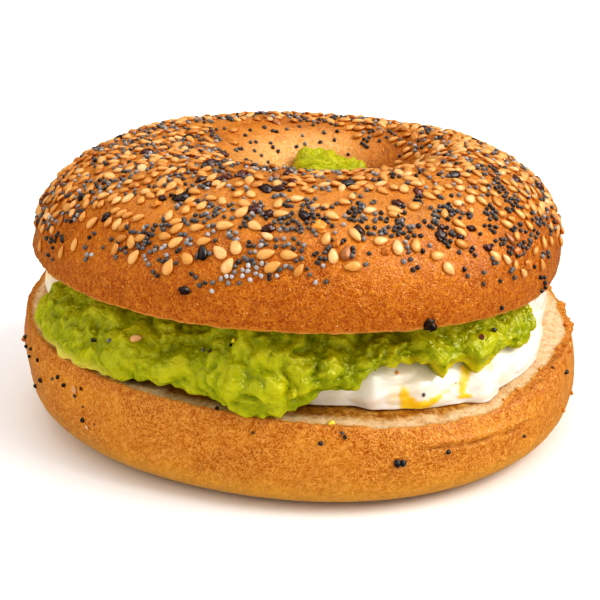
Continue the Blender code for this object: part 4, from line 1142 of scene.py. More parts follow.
    (-32.5, 44.5, 0.5), (-32.5, 42, 0.2), (-31, 45.5, 0.1), (-30.5, 42.5, 0.3), (-30, 45, 0.5),
    (-31, 40, 0.4), (-32.5, 48.5, 0.3), (-36, 41.5, 0.2), (-36, 39.5, 0.4), (-34, 40, 0.3),
    (-15.5, 34.5, 0.4), (-10.5, 32, 0.5), (-11, 34.5, 0.3), (-10.5, 29.5, 0.2), (-10.5, 25, 0.4),
    (-10.5, 27.5, 0.4), (-10.5, 36.5, 0.4), (-32, 52, 0.3), (-29.5, 52, 0.2), (-30, 49.5, 0.4),
    (145.5, 100.5, 0.3), (145, 113, 0.1), (138, 110.5, 0.15), (149.5, 119.5, 0.4), (146, 121, 0.4),
    (164.5, 119, 0.2), (169.5, 118.5, 0.5), (163, 120, 0.2), (-170, 112, 0.1), (-176, 113.5, 0.1),
    (-174, 126.5, 0.2), (-138, 113.5, 0.2), (-122, 98.5, 0.2), (-175, 126, 0.3), (160.5, 138.5, 0.3),
    (158.5, 132, 0.5), (157.5, 126.5, 0.5), (138.5, 126.5, 0.4), (140.5, 130.5, 0.2), (140, 135, 0.15),
    (125.5, 114.5, 0.3), (124, 116, 0.2), (127, 109.5, 0.3), (116, 114.5, 0.6), (121, 133.5, 0.15),
    (106.5, 110.5, 0.5), (110.5, 123, 0.7), (113, 131.5, 0.7), (101, 130, 0.2), (90, 127, 0.2),
    (86.5, 117, 0.1), (95, 119.5, 0.5), (98, 108.5, 0.3), (81, 139, 0.2), (70, 122.5, 0.2), (71, 127, 0.1),
    (69, 128.5, 0.3), (67, 130, 0.1), (67.5, 123.5, 0.2), (67, 113, 0.3), (66.5, 119, 0.5),
    (59.5, 120.5, 0.4), (55.5, 115, 0.3),
    (36, 134, 0.2), (27, 121.5, 0.5), (22, 126, 0.4), (45.5, 123, 0.4), (-60, 118, 0.3),
    (-80, 125, 0.2), (-105, 128, 0.4), (-30, 130, 0.3), (-88, 140, 0.2), (-45, 138, 0.5), (-120, 122, 0.3),
)
print(len(POPPY_BY_HAND), "poppy seeds in the table")

# %% [markdown]
# ### Seeds dealt at random
# The dough was dipped in seeds upside down, so they cover the crest and thin out down the side and into the
# hollow. Poppy seeds roll together into clumps. Each seed is dealt to a random place, kept if seeds lie
# thick there, and kept apart from those already laid.

# %% Colours and sizes of the seeds
SESAME_COLOURS = ((0.36, 0.12, 0.016), (0.54, 0.235, 0.045), (0.68, 0.35, 0.10), (0.78, 0.46, 0.18),
                  (0.87, 0.59, 0.33))
POPPY_COLOURS = ((0.010, 0.009, 0.009), (0.034, 0.028, 0.027), (0.080, 0.071, 0.069), (0.155, 0.142, 0.138),
                 (0.34, 0.32, 0.31), (0.54, 0.51, 0.49))
ODD_COLOURS = {
    "dark": ((0.012, 0.008, 0.007), (0.03, 0.015, 0.01)),
    "tan": ((0.36, 0.13, 0.03), (0.52, 0.23, 0.07)),
    "flake": ((0.016, 0.008, 0.007), (0.15, 0.030, 0.010)),
    "chip": ((0.40, 0.10, 0.015), (0.78, 0.30, 0.04)),
}
deal = random.Random(5)
lain = {}
CELL = 3.0 * MM
SESAME_HALF_LENGTH = 1.38  # millimetres, as the radius below
POPPY_RADIUS = 0.475


def free(place, keep):
    """True if no seed lies nearer than the sum of both radii."""
    cell = [int(math.floor(c / CELL)) for c in place]
    near = [(cell[0] + dx, cell[1] + dy, cell[2] + dz)
            for dx in (-1, 0, 1) for dy in (-1, 0, 1) for dz in (-1, 0, 1)]
    return all((place - other).length >= keep + radius for key in near for other, radius in lain.get(key, ()))


def lay(place, radius):
    """Notes that a seed lies here, in the cell of space that holds it."""
    lain.setdefault(tuple(int(math.floor(c / CELL)) for c in place), []).append((place, radius))


def sesame_size(size=None):
    """Half the length, width and thickness of a sesame seed."""
    length = (size or deal.gauss(0.94, 0.08)) * SESAME_HALF_LENGTH * MM
    return length, length * deal.uniform(0.60, 0.72), deal.uniform(0.44, 0.56) * MM


def poppy_size():
    """The same for a poppy seed, which is round."""
    radius = deal.gauss(POPPY_RADIUS, 0.035) * MM
    return radius, radius, radius


print("a poppy seed is %.2f mm across" % (2 * POPPY_RADIUS))

# %% Lay the seeds of the front
SESAME_KEEP = 0.85 * MM
POPPY_KEEP = 0.46 * MM
SINK = 0.36  # how far a seed's middle lies over the crust, as a share of half its thickness
sesame_seeds, poppy_seeds, odd_seeds = [], [], {kind: [] for kind in ODD_SEEDS_BY_HAND}
for degrees, tube, turn, tone, size in SESAME_BY_HAND:
    place, normal = on_top(degrees, tube)
    lay(place, SESAME_KEEP)
    extent = sesame_size(size)
    sesame_seeds.append((place + normal * extent[2] * SINK, normal, math.radians(turn),
                         deal.uniform(-0.12, 0.12), extent, tint(SESAME_COLOURS, tone)))
for kind, table in ODD_SEEDS_BY_HAND.items():
    for degrees, tube, turn, tone, size in table:
        place, normal = on_top(degrees, tube)
        lay(place, SESAME_KEEP)
        length = size * (1.35 if kind in ("dark", "tan") else 1.15) * MM
        extent = (length, length * (0.64 if kind in ("dark", "tan") else 0.8), 0.5 * MM)
        odd_seeds[kind].append((place + normal * extent[2] * SINK, normal, math.radians(turn), 0.0, extent,
                                tint(ODD_COLOURS[kind], tone)))
for degrees, tube, tone in POPPY_BY_HAND:
    place, normal = on_top(degrees, tube)
    lay(place, POPPY_KEEP)
    extent = poppy_size()
    poppy_seeds.append((place + normal * extent[2] * SINK, normal, deal.uniform(0, math.tau),
                        deal.uniform(-1.2, 1.2), extent, tint(POPPY_COLOURS, tone)))
print(len(sesame_seeds), "sesame and", len(poppy_seeds), "poppy seeds laid by hand")

# %% [markdown]
# ### How thickly the rest lies
# A machine would spread seeds evenly, and real ones are not: the far side is thick with them, the hollow is
# bare and poppy seeds clump. So a function gives the chance that a seed stays where it was dealt.

# %% How thickly seeds lie
BY_HAND_BELOW = (
    # degrees, tube angle below which the seeds were laid one by one
    (-175, 5), (-160, 12), (-148, 28), (-142, 42), (-130, 56), (-110, 68), (-90, 72), (-70, 70), (-55, 63),
    (-40, 48), (-30, 30), (-22, 18), (-8, -20), (90, -20), (178, -20),
)
BARE_ABOVE = (
    # degrees, tube angle above which the hollow is bare
    (-175, 110), (-140, 104), (-90, 112), (-40, 120), (0, 135), (30, 134), (43, 121), (66, 115), (94, 107),
    (115, 102), (127, 94), (138, 90), (150, 100), (163, 108),
)


def thickness(degrees, tube):
    """How thickly seeds are dealt here, from 0 to 1. None are where the front was laid one by one."""
    if tube < round_the_clock(math.radians(degrees), BY_HAND_BELOW)[0]:
        return 0.0
    start = 20 - 14 * math.cos(math.radians(degrees)) ** 2
    bare = round_the_clock(math.radians(degrees), BARE_ABOVE)[0]
    return smooth(tube, start - 4, start + 20) * (1 - smooth(tube, bare - 7, bare + 3))


def clumps(degrees, tube):
    """Poppy seeds roll together: thick in clumps, thin between them."""
    angle = math.radians(degrees)
    spot = Vector((math.cos(angle) * 5.0, math.sin(angle) * 5.0, tube / 13))
    clump = smooth(noise.noise(spot * 1.3) + 0.5 * noise.noise(spot * 3.1), -0.2, 0.3)
    thin_at_right = 1 - 0.45 * smooth(math.cos(angle + math.radians(25)), 0.2, 0.9)
    return thickness(degrees, tube) * (0.16 + 0.84 * clump) * thin_at_right


print("on the far crest seeds lie %.0f%% thick" % (100 * thickness(90, 80)))

# %% Deal the rest
SESAME_DEALT, POPPY_DEALT = 710, 1150
ODD_DEALT = {"dark": 6, "tan": 10, "flake": 34, "chip": 16}
SESAME_LEAN, POPPY_LEAN, ODD_LEAN = 0.42, 1.2, 0.2  # radians, at most, out of the crust's plane


def anywhere():
    """A random place on the ring, even over its area."""
    while True:
        degrees, tube = deal.uniform(-180, 180), deal.uniform(-8, 165)
        inner = tube > 90
        reach = CREST_RADIUS - HOLE_RADIUS if inner else UPPER_BULGE_RADIUS - CREST_RADIUS
        size = (CREST_RADIUS + reach * math.cos(math.radians(tube))) / UPPER_BULGE_RADIUS
        if deal.random() < size * (0.8 if inner else 1.0):
            return degrees, tube


def scatter(count, keep, chance, size_of, colours, lean):
    """Deals seeds until count of them have found a free place, and tells where each lies."""
    seeds, tries = [], 0
    while len(seeds) < count and tries < 40 * count:
        tries += 1
        degrees, tube = anywhere()
        if deal.random() > chance(degrees, tube):
            continue
        place, normal = on_top(degrees, tube)
        if not free(place, keep):
            continue
        lay(place, keep)
        size = size_of()
        seeds.append((place + normal * size[2] * SINK, normal, deal.uniform(0, math.tau),
                      deal.uniform(-lean, lean), size, tint(colours, deal.betavariate(2.2, 2.0))))
    return seeds


sesame_seeds += scatter(SESAME_DEALT, SESAME_KEEP, thickness, sesame_size, SESAME_COLOURS, SESAME_LEAN)
poppy_seeds += scatter(POPPY_DEALT, POPPY_KEEP, clumps, poppy_size, POPPY_COLOURS, POPPY_LEAN)
for kind, count in ODD_DEALT.items():
    odd_seeds[kind] += scatter(count, SESAME_KEEP * 0.9, thickness, sesame_size, ODD_COLOURS[kind], ODD_LEAN)
print(len(sesame_seeds), "sesame and", len(poppy_seeds), "poppy seeds in all")

# %% [markdown]
# ### Specks that fell off
# A few seeds and crumbs dropped on the lower half, the avocado and the egg. Random dealing suits hundreds,
# and these are few, so each is placed by angle, radius and height, and set on the nearest spot of its piece.

# %% Specks on the lower half, the avocado and the egg
# Each is degrees, radius, height, tone and size. Crumbs have a colour in place of a tone.
POPPY_ON_BREAD = (
    (-152.2, 54.6, 13.3, 0.05, 1.1), (-158.5, 54.2, 9.5, 0.05, 1.0), (-145.4, 53.7, 16.2, 0.03, 0.9),
    (-147.2, 54.0, 15.3, 0.55, 0.7), (-143.3, 53.5, 15.3, 0.0, 1.05), (-139.8, 53.2, 14.2, 0.35, 0.8),
    (-137.8, 53.0, 10.0, 0.0, 1.1), (-158.4, 54.7, 17.3, 0.05, 0.9), (-158.8, 54.9, 15.7, 0.05, 0.9),
    (-153.7, 54.5, 16.8, 0.02, 0.9), (-162.1, 54.9, 16.5, 0.1, 1.0), (-164.2, 54.75, 17.6, 0.05, 1.0),
    (-106.5, 49.9, 18.1, 0.0, 0.9), (-86.2, 52.9, 14.1, 0.1, 1.1), (-82.3, 52.8, 15.8, 0.4, 0.8),
    (-81.8, 53.1, 15.1, 0.0, 0.95), (-62.9, 55.9, 10.85, 0.05, 1.05), (-44.1, 55.8, 8.4, 0.1, 0.8),
    (-24.1, 54.6, 13.7, 0.05, 1.2), (-72.5, 54.9, 10.1, 0.0, 1.6), (-71.5, 55.0, 10.0, 0.0, 1.5),
)
POPPY_ON_AVOCADO = (
    (-136.5, 50.4, 25.3, 0.05, 1.1), (-132.7, 50.5, 26.3, 0.7, 1.0), (-110.8, 47.9, 28.5, 0.55, 0.9),
    (-109.1, 48.2, 28.4, 0.1, 0.8), (-104.4, 48.0, 29.4, 0.05, 0.8), (-47.5, 50.1, 27.6, 0.02, 1.2),
)
CRUMBS_ON_BREAD = (
    (-139.9, 53.05, 15.3, (0.72, 0.40, 0.22), 1.1), (-138.2, 52.7, 16.0, (0.10, 0.03, 0.01), 0.6),
    (-137.5, 53.0, 12.7, (0.05, 0.02, 0.01), 0.35), (-134.4, 52.8, 10.2, (0.05, 0.02, 0.01), 0.3),
    (-98.9, 51.5, 15.1, (0.10, 0.04, 0.02), 0.5), (-28.6, 53.4, 15.9, (0.12, 0.05, 0.02), 0.5),
    (-17.3, 53.9, 15.3, (0.60, 0.22, 0.03), 0.9), (-12.0, 54.3, 15.5, (0.60, 0.22, 0.03), 0.7),
    (-17.3, 55.1, 6.5, (0.60, 0.22, 0.03), 0.8), (-6.7, 53.1, 16.5, (0.60, 0.22, 0.03), 0.8),
    (-26.3, 55.4, 6.7, (0.62, 0.24, 0.03), 0.8), (-19.7, 52.2, 16.2, (0.62, 0.24, 0.03), 0.8),
    (-28.4, 53.8, 15.8, (0.62, 0.24, 0.03), 0.7), (-166.0, 55.0, 16.5, (0.45, 0.15, 0.03), 1.0),
    (-136.6, 52.9, 8.95, (0.78, 0.52, 0.28), 0.7), (-84.1, 51.1, 16.9, (0.90, 0.66, 0.08), 1.1),
    (-46.5, 52.6, 15.3, (0.72, 0.34, 0.05), 0.6), (-41.0, 52.0, 15.4, (0.74, 0.36, 0.06), 0.7),
    (-35.0, 52.0, 15.7, (0.72, 0.34, 0.05), 0.6), (-30.5, 51.6, 16.0, (0.74, 0.36, 0.06), 0.7),
)
CRUMBS_ON_AVOCADO = (
    (-103.9, 48.0, 30.6, (0.80, 0.62, 0.03), 0.7), (-52.1, 51.1, 28.2, (0.16, 0.04, 0.02), 0.9),
)
CRUMBS_ON_EGG = ((-68.9, 46.9, 23.5, (0.70, 0.28, 0.03), 0.6), (-56.8, 49.6, 20.0, (0.85, 0.42, 0.03), 0.3))
POPPY_ON_EGG = ((-64.7, 50.65, 19.2, 0.45, 0.8),)
LUMP_ON_TOP = (-65.0, -13.0, 1.2 * MM, 1.05 * MM, 0.85 * MM)  # degrees, tube angle and half sizes
print(len(POPPY_ON_BREAD) + len(CRUMBS_ON_BREAD), "specks on the lower half")

# %% Set the specks on their pieces
CRUMB_SHAPE = (0.6, 0.5, 0.42)  # half sizes in millimetres of a crumb of size 1
BURNT = (0.012, 0.007, 0.006)
PEACH = (0.85, 0.55, 0.30)


def beside(tree, degrees, radius, height):
    """The nearest place on a piece, and the way out of it."""
    place, normal, _, _ = tree.find_nearest(at(math.radians(degrees), radius * MM, height * MM) + TO_MIDDLE)
    return place, normal


crumbs = []
egg_tree, avocado_tree = tree_of(egg_white), tree_of(avocado_mash)
trees = (bottom_tree, avocado_tree, egg_tree)
for tree, table in zip(trees, (POPPY_ON_BREAD, POPPY_ON_AVOCADO, POPPY_ON_EGG)):
    for degrees, radius, height, tone, size in table:
        place, normal = beside(tree, degrees, radius, height)
        extent = (0.47 * size * MM,) * 3
        poppy_seeds.append((place + normal * extent[2] * SINK, normal, deal.uniform(0, math.tau),
                            deal.uniform(-1.2, 1.2), extent, tint(POPPY_COLOURS, tone)))
for tree, table in zip(trees, (CRUMBS_ON_BREAD, CRUMBS_ON_AVOCADO, CRUMBS_ON_EGG)):
    for degrees, radius, height, colour, size in table:
        place, normal = beside(tree, degrees, radius, height)
        extent = tuple(half * size * MM for half in CRUMB_SHAPE)
        turn = deal.uniform(0, math.tau)
        crumbs.append((place + normal * extent[2] * 0.4, normal, turn, 0.0, extent, colour))
place, normal = on_top(*LUMP_ON_TOP[:2])
crumbs.append((place + normal * LUMP_ON_TOP[4] * 0.5, normal, 0.3, 0.0, LUMP_ON_TOP[2:], BURNT))
place, normal = beside(avocado_tree, -126.4, 48.6, 28.1)
sesame_seeds.append((place + normal * 0.2 * MM, normal, 0.4, 0.0, sesame_size(0.82), PEACH))
print(len(crumbs), "crumbs")

# %% [markdown]
# ### Joining
# Each kind becomes one mesh, so that the sandwich stays a handful of pieces. The chips come in three shapes,
# one mesh each, because broken bits that are all alike would show.

# %% Join the seeds of each kind
# Painted shade on the low edge of each sesame seed, partly its own more orange edge.
SESAME_RIM_SHADE = (0.82, 0.60, 0.34)
sesame = copies("sesame_seeds", sesame_shape(), sesame_seeds, SESAME_RIM_SHADE)
poppy = copies("poppy_seeds", poppy_shape(), poppy_seeds)
whole = copies("dark_and_tan_seeds", sesame_shape(), odd_seeds["dark"] + odd_seeds["tan"])
chips = [copies("chips_%d" % number, flake_shape(number), (odd_seeds["flake"] + odd_seeds["chip"])[number::3])
         for number in range(3)]
crumb_bits = copies("crumbs", flake_shape(4), crumbs)

# %% [markdown]
# ## Materials
# Every material is built from noise in Object coordinates, in metres, so its grain has a true size.
# Small helpers wire the nodes, so that each finish reads as a short list of what it is made of.

# %% Start a material, and draw patterns on it
def new_material(name, roughness, **settings):
    """A material with one Principled shader. Even values go straight on the shader's own sockets."""
    material = bpy.data.materials.new(name)
    material.use_nodes = True
    shader = material.node_tree.nodes["Principled BSDF"]
    shader.inputs["Roughness"].default_value = roughness
    for socket, value in settings.items():
        shader.inputs[socket.replace("_", " ")].default_value = value
    return material, material.node_tree, shader


def grain(tree, size, detail=3.0, roughness=0.5, distortion=0.0):
    """A noise whose features are about size metres across."""
    where = tree.nodes.new("ShaderNodeTexCoord")
    texture = tree.nodes.new("ShaderNodeTexNoise")
    texture.inputs["Scale"].default_value = 1 / size
    texture.inputs["Detail"].default_value = detail
    texture.inputs["Roughness"].default_value = roughness
    texture.inputs["Distortion"].default_value = distortion
    tree.links.new(where.outputs["Object"], texture.inputs["Vector"])
    return texture.outputs["Fac"]


def ramp(tree, value, stops):
    """Colours or greys at places between 0 and 1."""
    node = tree.nodes.new("ShaderNodeValToRGB")
    while len(node.color_ramp.elements) < len(stops):
        node.color_ramp.elements.new(0.5)
    for element, (position, colour) in zip(node.color_ramp.elements, stops):
        element.position = position
        element.color = (*colour, 1) if len(colour) == 3 else (colour[0],) * 3 + (1,)
    tree.links.new(value, node.inputs["Fac"])
    return node.outputs["Color"]


# %% Mix colours, work out sums and add bumps
def mixed(tree, share, first, second):
    """The two colours mixed. Each may be a socket or a plain colour, and share a socket or a number."""
    node = tree.nodes.new("ShaderNodeMix")
    node.data_type = "RGBA"
    for socket, value in ((0, share), (6, first), (7, second)):
        if isinstance(value, bpy.types.NodeSocket):
            tree.links.new(value, node.inputs[socket])
        else:
            node.inputs[socket].default_value = value if socket == 0 else (*value, 1)
    return node.outputs[2]


def sums(tree, operation, first, second=None):
    """A sum of any kind that the Math node knows, on sockets or numbers."""
    node = tree.nodes.new("ShaderNodeMath")
    node.operation = operation
    for socket, value in enumerate((first, second)):
        if isinstance(value, bpy.types.NodeSocket):
            tree.links.new(value, node.inputs[socket])
        elif value is not None:
            node.inputs[socket].default_value = value
    return node.outputs[0]


def channels(tree, name):
    """The red, green and blue of a colour attribute."""
    attribute = tree.nodes.new("ShaderNodeAttribute")
    attribute.attribute_name = name
    split = tree.nodes.new("ShaderNodeSeparateColor")
    tree.links.new(attribute.outputs["Color"], split.inputs["Color"])
    return split.outputs["Red"], split.outputs["Green"], split.outputs["Blue"]


def bumpy(tree, shader, height, depth, strength):
    """Lets the light see relief too fine for the mesh."""
    bump = tree.nodes.new("ShaderNodeBump")
    bump.inputs["Strength"].default_value = strength
    bump.inputs["Distance"].default_value = depth
    tree.links.new(height, bump.inputs["Height"])
    tree.links.new(bump.outputs["Normal"], shader.inputs["Normal"])


# %% [markdown]
# ### Crust
# Baked crust is glossy and orange brown, mottled by how hot each patch got, with curled paler threads and
# specks where the skin blistered. The threads and specks are also painted highlight, standing in for the
# small glints of the blistered gloss. Near the cut the crust is painted darker, as painted shade. The cut
# shows pale crumb with pores, and brown crumb that is oily and also painted shade under the filling. A
# picture of bread would stretch over the ring, so layers of noise of different sizes are mixed one over the
# other, as in a glaze.

# %% Patterns that curl
def bent_place(tree, size, amount):
    """Object coordinates, pushed about by a noise, so that a pattern on them curls."""
    where = tree.nodes.new("ShaderNodeTexCoord")
    push = tree.nodes.new("ShaderNodeTexNoise")
    push.inputs["Scale"].default_value = 1 / size
    push.inputs["Detail"].default_value = 1.0
    centred = tree.nodes.new("ShaderNodeVectorMath")
    centred.operation = "MULTIPLY_ADD"
    centred.inputs[1].default_value = (amount,) * 3
    tree.links.new(where.outputs["Object"], push.inputs["Vector"])
    tree.links.new(push.outputs["Color"], centred.inputs[0])
    tree.links.new(where.outputs["Object"], centred.inputs[2])
    return centred.outputs[0]


def threads(tree, place, size, width):
    """Thin curled lines where a noise passes its middle value, 1 on a line and 0 away from it."""
    texture = tree.nodes.new("ShaderNodeTexNoise")
    texture.inputs["Scale"].default_value = 1 / size
    texture.inputs["Detail"].default_value = 1.5
    texture.inputs["Distortion"].default_value = 0.6
    tree.links.new(place, texture.inputs["Vector"])
    off = sums(tree, "ABSOLUTE", sums(tree, "SUBTRACT", texture.outputs["Fac"], 0.5))
    return ramp(tree, off, [(0.0, (1.0,)), (width, (0.0,))])


def billows(tree, place, size):
    """Round little hills with sharp creases between them, where a noise turns back at its middle value."""
    texture = tree.nodes.new("ShaderNodeTexNoise")
    texture.inputs["Scale"].default_value = 1 / size
    texture.inputs["Detail"].default_value = 1.0
    tree.links.new(place, texture.inputs["Vector"])
    off = sums(tree, "ABSOLUTE", sums(tree, "SUBTRACT", texture.outputs["Fac"], 0.5))
    return sums(tree, "MULTIPLY", off, 4.0)


# %% Crust and crumb
CRUMB_ROUGHNESS = 0.9
CRUST_BUMP = 0.18 * MM


def crust_material(name, dark, middle, light, thread_and_glint, golden, pale, shade_near_cut, gloss):
    """Crust in the given colours, with crumb where the piece's zones say so."""
    material, tree, shader = new_material(name, gloss, Specular_IOR_Level=0.3)
    crumb, fade, shade_near_cut_share = channels(tree, "zones")
    patches = grain(tree, 11 * MM, 4.0, 0.55, 0.4)
    mottle = grain(tree, 1.9 * MM, 4.0, 0.62, 0.6)
    colour = ramp(tree, patches, [(0.32, dark), (0.5, middle), (0.68, light)])
    # Painted shade: the crust is darkened near the cut where the zones' blue says so.
    colour = mixed(tree, sums(tree, "MULTIPLY", shade_near_cut_share, 0.85), colour, shade_near_cut)
    blistered = mixed(tree, fade, ramp(tree, mottle, [(0.40, (0.25,)), (0.56, (1.0,))]), (0.9, 0.9, 0.9))
    faded = sums(tree, "MULTIPLY", fade, blistered)
    # Green lightens the crust towards golden and pale. Part of it is painted light: the hollow's side that
    # faces the lamp, and the lower half towards its base.
    colour = mixed(tree, sums(tree, "MULTIPLY", faded, 0.95), colour, mixed(tree, fade, golden, pale))
    colour = mixed(tree, ramp(tree, mottle, [(0.34, (0.16,)), (0.50, (0.0,))]), colour, dark)
    colour = mixed(tree, ramp(tree, mottle, [(0.52, (0.0,)), (0.70, (0.18,))]), colour, light)
    place = bent_place(tree, 1.1 * MM, 0.9 * MM)
    broken = ramp(tree, grain(tree, 1.2 * MM, 2.0), [(0.42, (0.1,)), (0.60, (1.0,))])
    thread = sums(tree, "MULTIPLY", threads(tree, place, 1.2 * MM, 0.10), broken)
    fine = threads(tree, place, 0.55 * MM, 0.11)
    # The pale threads are curled threads of the crust and also painted highlight, standing in for the glints
    # of the blistered gloss.
    colour = mixed(tree, sums(tree, "MULTIPLY", thread, 0.65), colour, thread_and_glint)
    colour = mixed(tree, sums(tree, "MULTIPLY", fine, 0.65), colour, thread_and_glint)
    # Pale specks are blisters and also painted glints.
    speck_and_glint = ramp(tree, grain(tree, 0.4 * MM, 1.0, 0.5, 0.3), [(0.71, (0.0,)), (0.75, (0.7,))])
    colour = mixed(tree, speck_and_glint, colour, pale)
    pores = grain(tree, 1.3 * MM, 4.0, 0.65, 0.8)
    # The brown crumb is oily and also painted shade under the filling, so its colours are dark.
    brown = ramp(tree, pores, [
        (0.32, (0.24, 0.08, 0.002)), (0.5, (0.44, 0.19, 0.012)), (0.7, (0.66, 0.38, 0.08))])
    cream = ramp(tree, pores, [
        (0.3, (0.63, 0.35, 0.14)), (0.46, (0.79, 0.55, 0.32)), (0.7, (0.86, 0.69, 0.49))])
    inside = mixed(tree, fade, brown, cream)
    ragged = sums(tree, "ADD", crumb, sums(tree, "MULTIPLY", sums(tree, "SUBTRACT", pores, 0.5), 0.9))
    inner = ramp(tree, ragged, [(0.42, (0.0,)), (0.62, (1.0,))])
    tree.links.new(mixed(tree, inner, colour, inside), shader.inputs["Base Color"])
    height = sums(tree, "ADD", sums(tree, "MULTIPLY", thread, 0.6), sums(tree, "MULTIPLY", fine, 0.4))
    height = sums(tree, "ADD", height, mottle)
    height = sums(tree, "ADD", height, sums(tree, "MULTIPLY", sums(tree, "MULTIPLY", pores, inner), 1.8))
    bumpy(tree, shader, height, CRUST_BUMP, 0.8)
    shine = ramp(tree, mottle, [(0.3, (gloss,)), (0.7, (gloss + 0.10,))])
    tree.links.new(mixed(tree, inner, shine, (CRUMB_ROUGHNESS,) * 3), shader.inputs["Roughness"])
    return material


bread_top.data.materials.append(crust_material(
    "crust_top", dark=(0.26, 0.046, 0.0001), middle=(0.38, 0.088, 0.0002), light=(0.52, 0.155, 0.002),
    thread_and_glint=(0.69, 0.265, 0.02), golden=(0.84, 0.40, 0.06), pale=(0.86, 0.54, 0.24),
    shade_near_cut=(0.33, 0.068, 0.0001), gloss=0.24))
# On the lower half golden and pale are the paler crust towards the base, painted light from the floor.
bread_bottom.data.materials.append(crust_material(
    "crust_bottom", dark=(0.37, 0.098, 0.0002), middle=(0.46, 0.138, 0.0008), light=(0.56, 0.200, 0.003),
    thread_and_glint=(0.82, 0.40, 0.08), golden=(0.67, 0.37, 0.03), pale=(0.67, 0.37, 0.03),
    shade_near_cut=(0.40, 0.100, 0.0006), gloss=0.28))
print("crust materials have", len(bread_top.data.materials[0].node_tree.nodes), "nodes each")

# %% [markdown]
# ### Egg and avocado
# Both are wet, and light goes a little way into them before it comes out again, so both use subsurface
# scattering with a short reach. The avocado's creases are painted darker and greener, as painted shade, and
# the tops of its lumps yellower, as painted highlight.

# %% Egg white and avocado
def egg_material():
    """Moist egg white, cloudy inside, with yolk where the zones say so, and a faint yolk colour as painted
    shade under the avocado.
    """
    material, tree, shader = new_material(
        "egg_white", 0.26, Subsurface_Weight=0.35, Subsurface_Scale=1.0, Specular_IOR_Level=0.4)
    shader.inputs["Subsurface Radius"].default_value = (2.6 * MM, 2.0 * MM, 1.3 * MM)
    yolk_and_shade, _, _ = channels(tree, "zones")
    cloudy = grain(tree, 9 * MM, 3.0, 0.5)
    white = ramp(tree, cloudy, [(0.35, (0.81, 0.72, 0.58)), (0.65, (0.92, 0.86, 0.79))])
    orange = ramp(tree, grain(tree, 2.5 * MM, 2.0), [(0.35, (0.93, 0.55, 0.015)), (0.65, (0.95, 0.68, 0.05))])
    tree.links.new(mixed(tree, yolk_and_shade, white, orange), shader.inputs["Base Color"])
    bumpy(tree, shader, grain(tree, 3.0 * MM, 4.0, 0.55, 0.5), 0.35 * MM, 0.35)
    return material


def avocado_material():
    """Glossy mash with pale fibres: its creases are painted deep green as painted shade, and its lumps
    yellower as painted highlight.
    """
    material, tree, shader = new_material(
        "avocado_mash", 0.27, Subsurface_Weight=0.10, Subsurface_Scale=1.0, Specular_IOR_Level=0.25)
    shader.inputs["Subsurface Radius"].default_value = (1.2 * MM, 1.4 * MM, 0.3 * MM)
    raised, fringe, yolky = channels(tree, "zones")
    patches = grain(tree, 6 * MM, 3.0, 0.6, 0.6)
    fresh = ramp(tree, patches, [
        (0.34, (0.25, 0.28, 0.0005)), (0.5, (0.34, 0.36, 0.001)), (0.68, (0.45, 0.43, 0.003))])
    # Painted shade: the creases are darkened towards deep green.
    deep = ramp(tree, raised, [(0.10, (1.0,)), (0.55, (0.0,))])
    colour = mixed(tree, sums(tree, "MULTIPLY", deep, 0.7), fresh, (0.14, 0.19, 0.0004))
    fibres = ramp(tree, grain(tree, 0.9 * MM, 2.0, 0.6, 1.2), [(0.55, (0.0,)), (0.68, (1.0,))])
    colour = mixed(tree, sums(tree, "MULTIPLY", fibres, 0.25), colour, (0.72, 0.64, 0.02))
    # Painted highlight: the tops of the lumps are lightened towards yellow.
    lit = ramp(tree, raised, [(0.75, (0.0,)), (1.0, (0.3,))])
    colour = mixed(tree, lit, colour, (0.66, 0.60, 0.03))
    colour = mixed(tree, sums(tree, "MULTIPLY", fringe, 0.75), colour, (0.80, 0.66, 0.16))
    colour = mixed(tree, sums(tree, "MULTIPLY", yolky, 0.6), colour, (0.72, 0.56, 0.008))
    tree.links.new(colour, shader.inputs["Base Color"])
    place = bent_place(tree, 2.5 * MM, 1.2 * MM)
    height = sums(tree, "MULTIPLY_ADD", billows(tree, place, 0.8 * MM), 0.25)
    tree.links.new(billows(tree, place, 1.9 * MM), height.node.inputs[2])
    bumpy(tree, shader, height, 0.30 * MM, 0.8)
    return material


egg_white.data.materials.append(egg_material())
avocado_mash.data.materials.append(avocado_material())
for piece in (egg_white, avocado_mash):
    print(piece.name, "is finished in", piece.data.materials[0].name)

# %% [markdown]
# ### Seeds
# Each seed brings its own colour in the tone attribute, so one material serves all seeds of a kind; on sesame
# seeds the tone also holds a painted shade at the low edge. It adds small stains and a fine grain, because a
# seed of one flat colour would look like plastic.

# %% Finish the seeds
def seed_material(name, roughness, stain, stain_share, stain_size, specular):
    """The seed's own colour, stained in small spots."""
    material, tree, shader = new_material(name, roughness, Specular_IOR_Level=specular)
    own = tree.nodes.new("ShaderNodeAttribute")
    own.attribute_name = "tone"
    spots = ramp(tree, grain(tree, stain_size, 2.0), [(0.45, (0.0,)), (0.75, (stain_share,))])
    tree.links.new(mixed(tree, spots, own.outputs["Color"], stain), shader.inputs["Base Color"])
    bumpy(tree, shader, grain(tree, stain_size * 0.5, 2.0), 0.05 * MM, 0.5)
    return material


sesame_finish = seed_material("sesame", 0.34, (0.58, 0.22, 0.02), 0.45, 1.2 * MM, 0.35)
poppy_finish = seed_material("poppy", 0.45, (0.30, 0.27, 0.25), 0.4, 0.35 * MM, 0.3)
chip_finish = seed_material("burnt_chip", 0.33, (0.10, 0.03, 0.01), 0.4, 0.9 * MM, 0.4)
sesame.data.materials.append(sesame_finish)
poppy.data.materials.append(poppy_finish)
whole.data.materials.append(chip_finish)
for chip in chips:
    chip.data.materials.append(chip_finish)
crumb_bits.data.materials.append(seed_material("crumb", 0.45, (0.50, 0.18, 0.02), 0.25, 0.8 * MM, 0.3))
print("the crumbs are finished in", crumb_bits.data.materials[0].name)

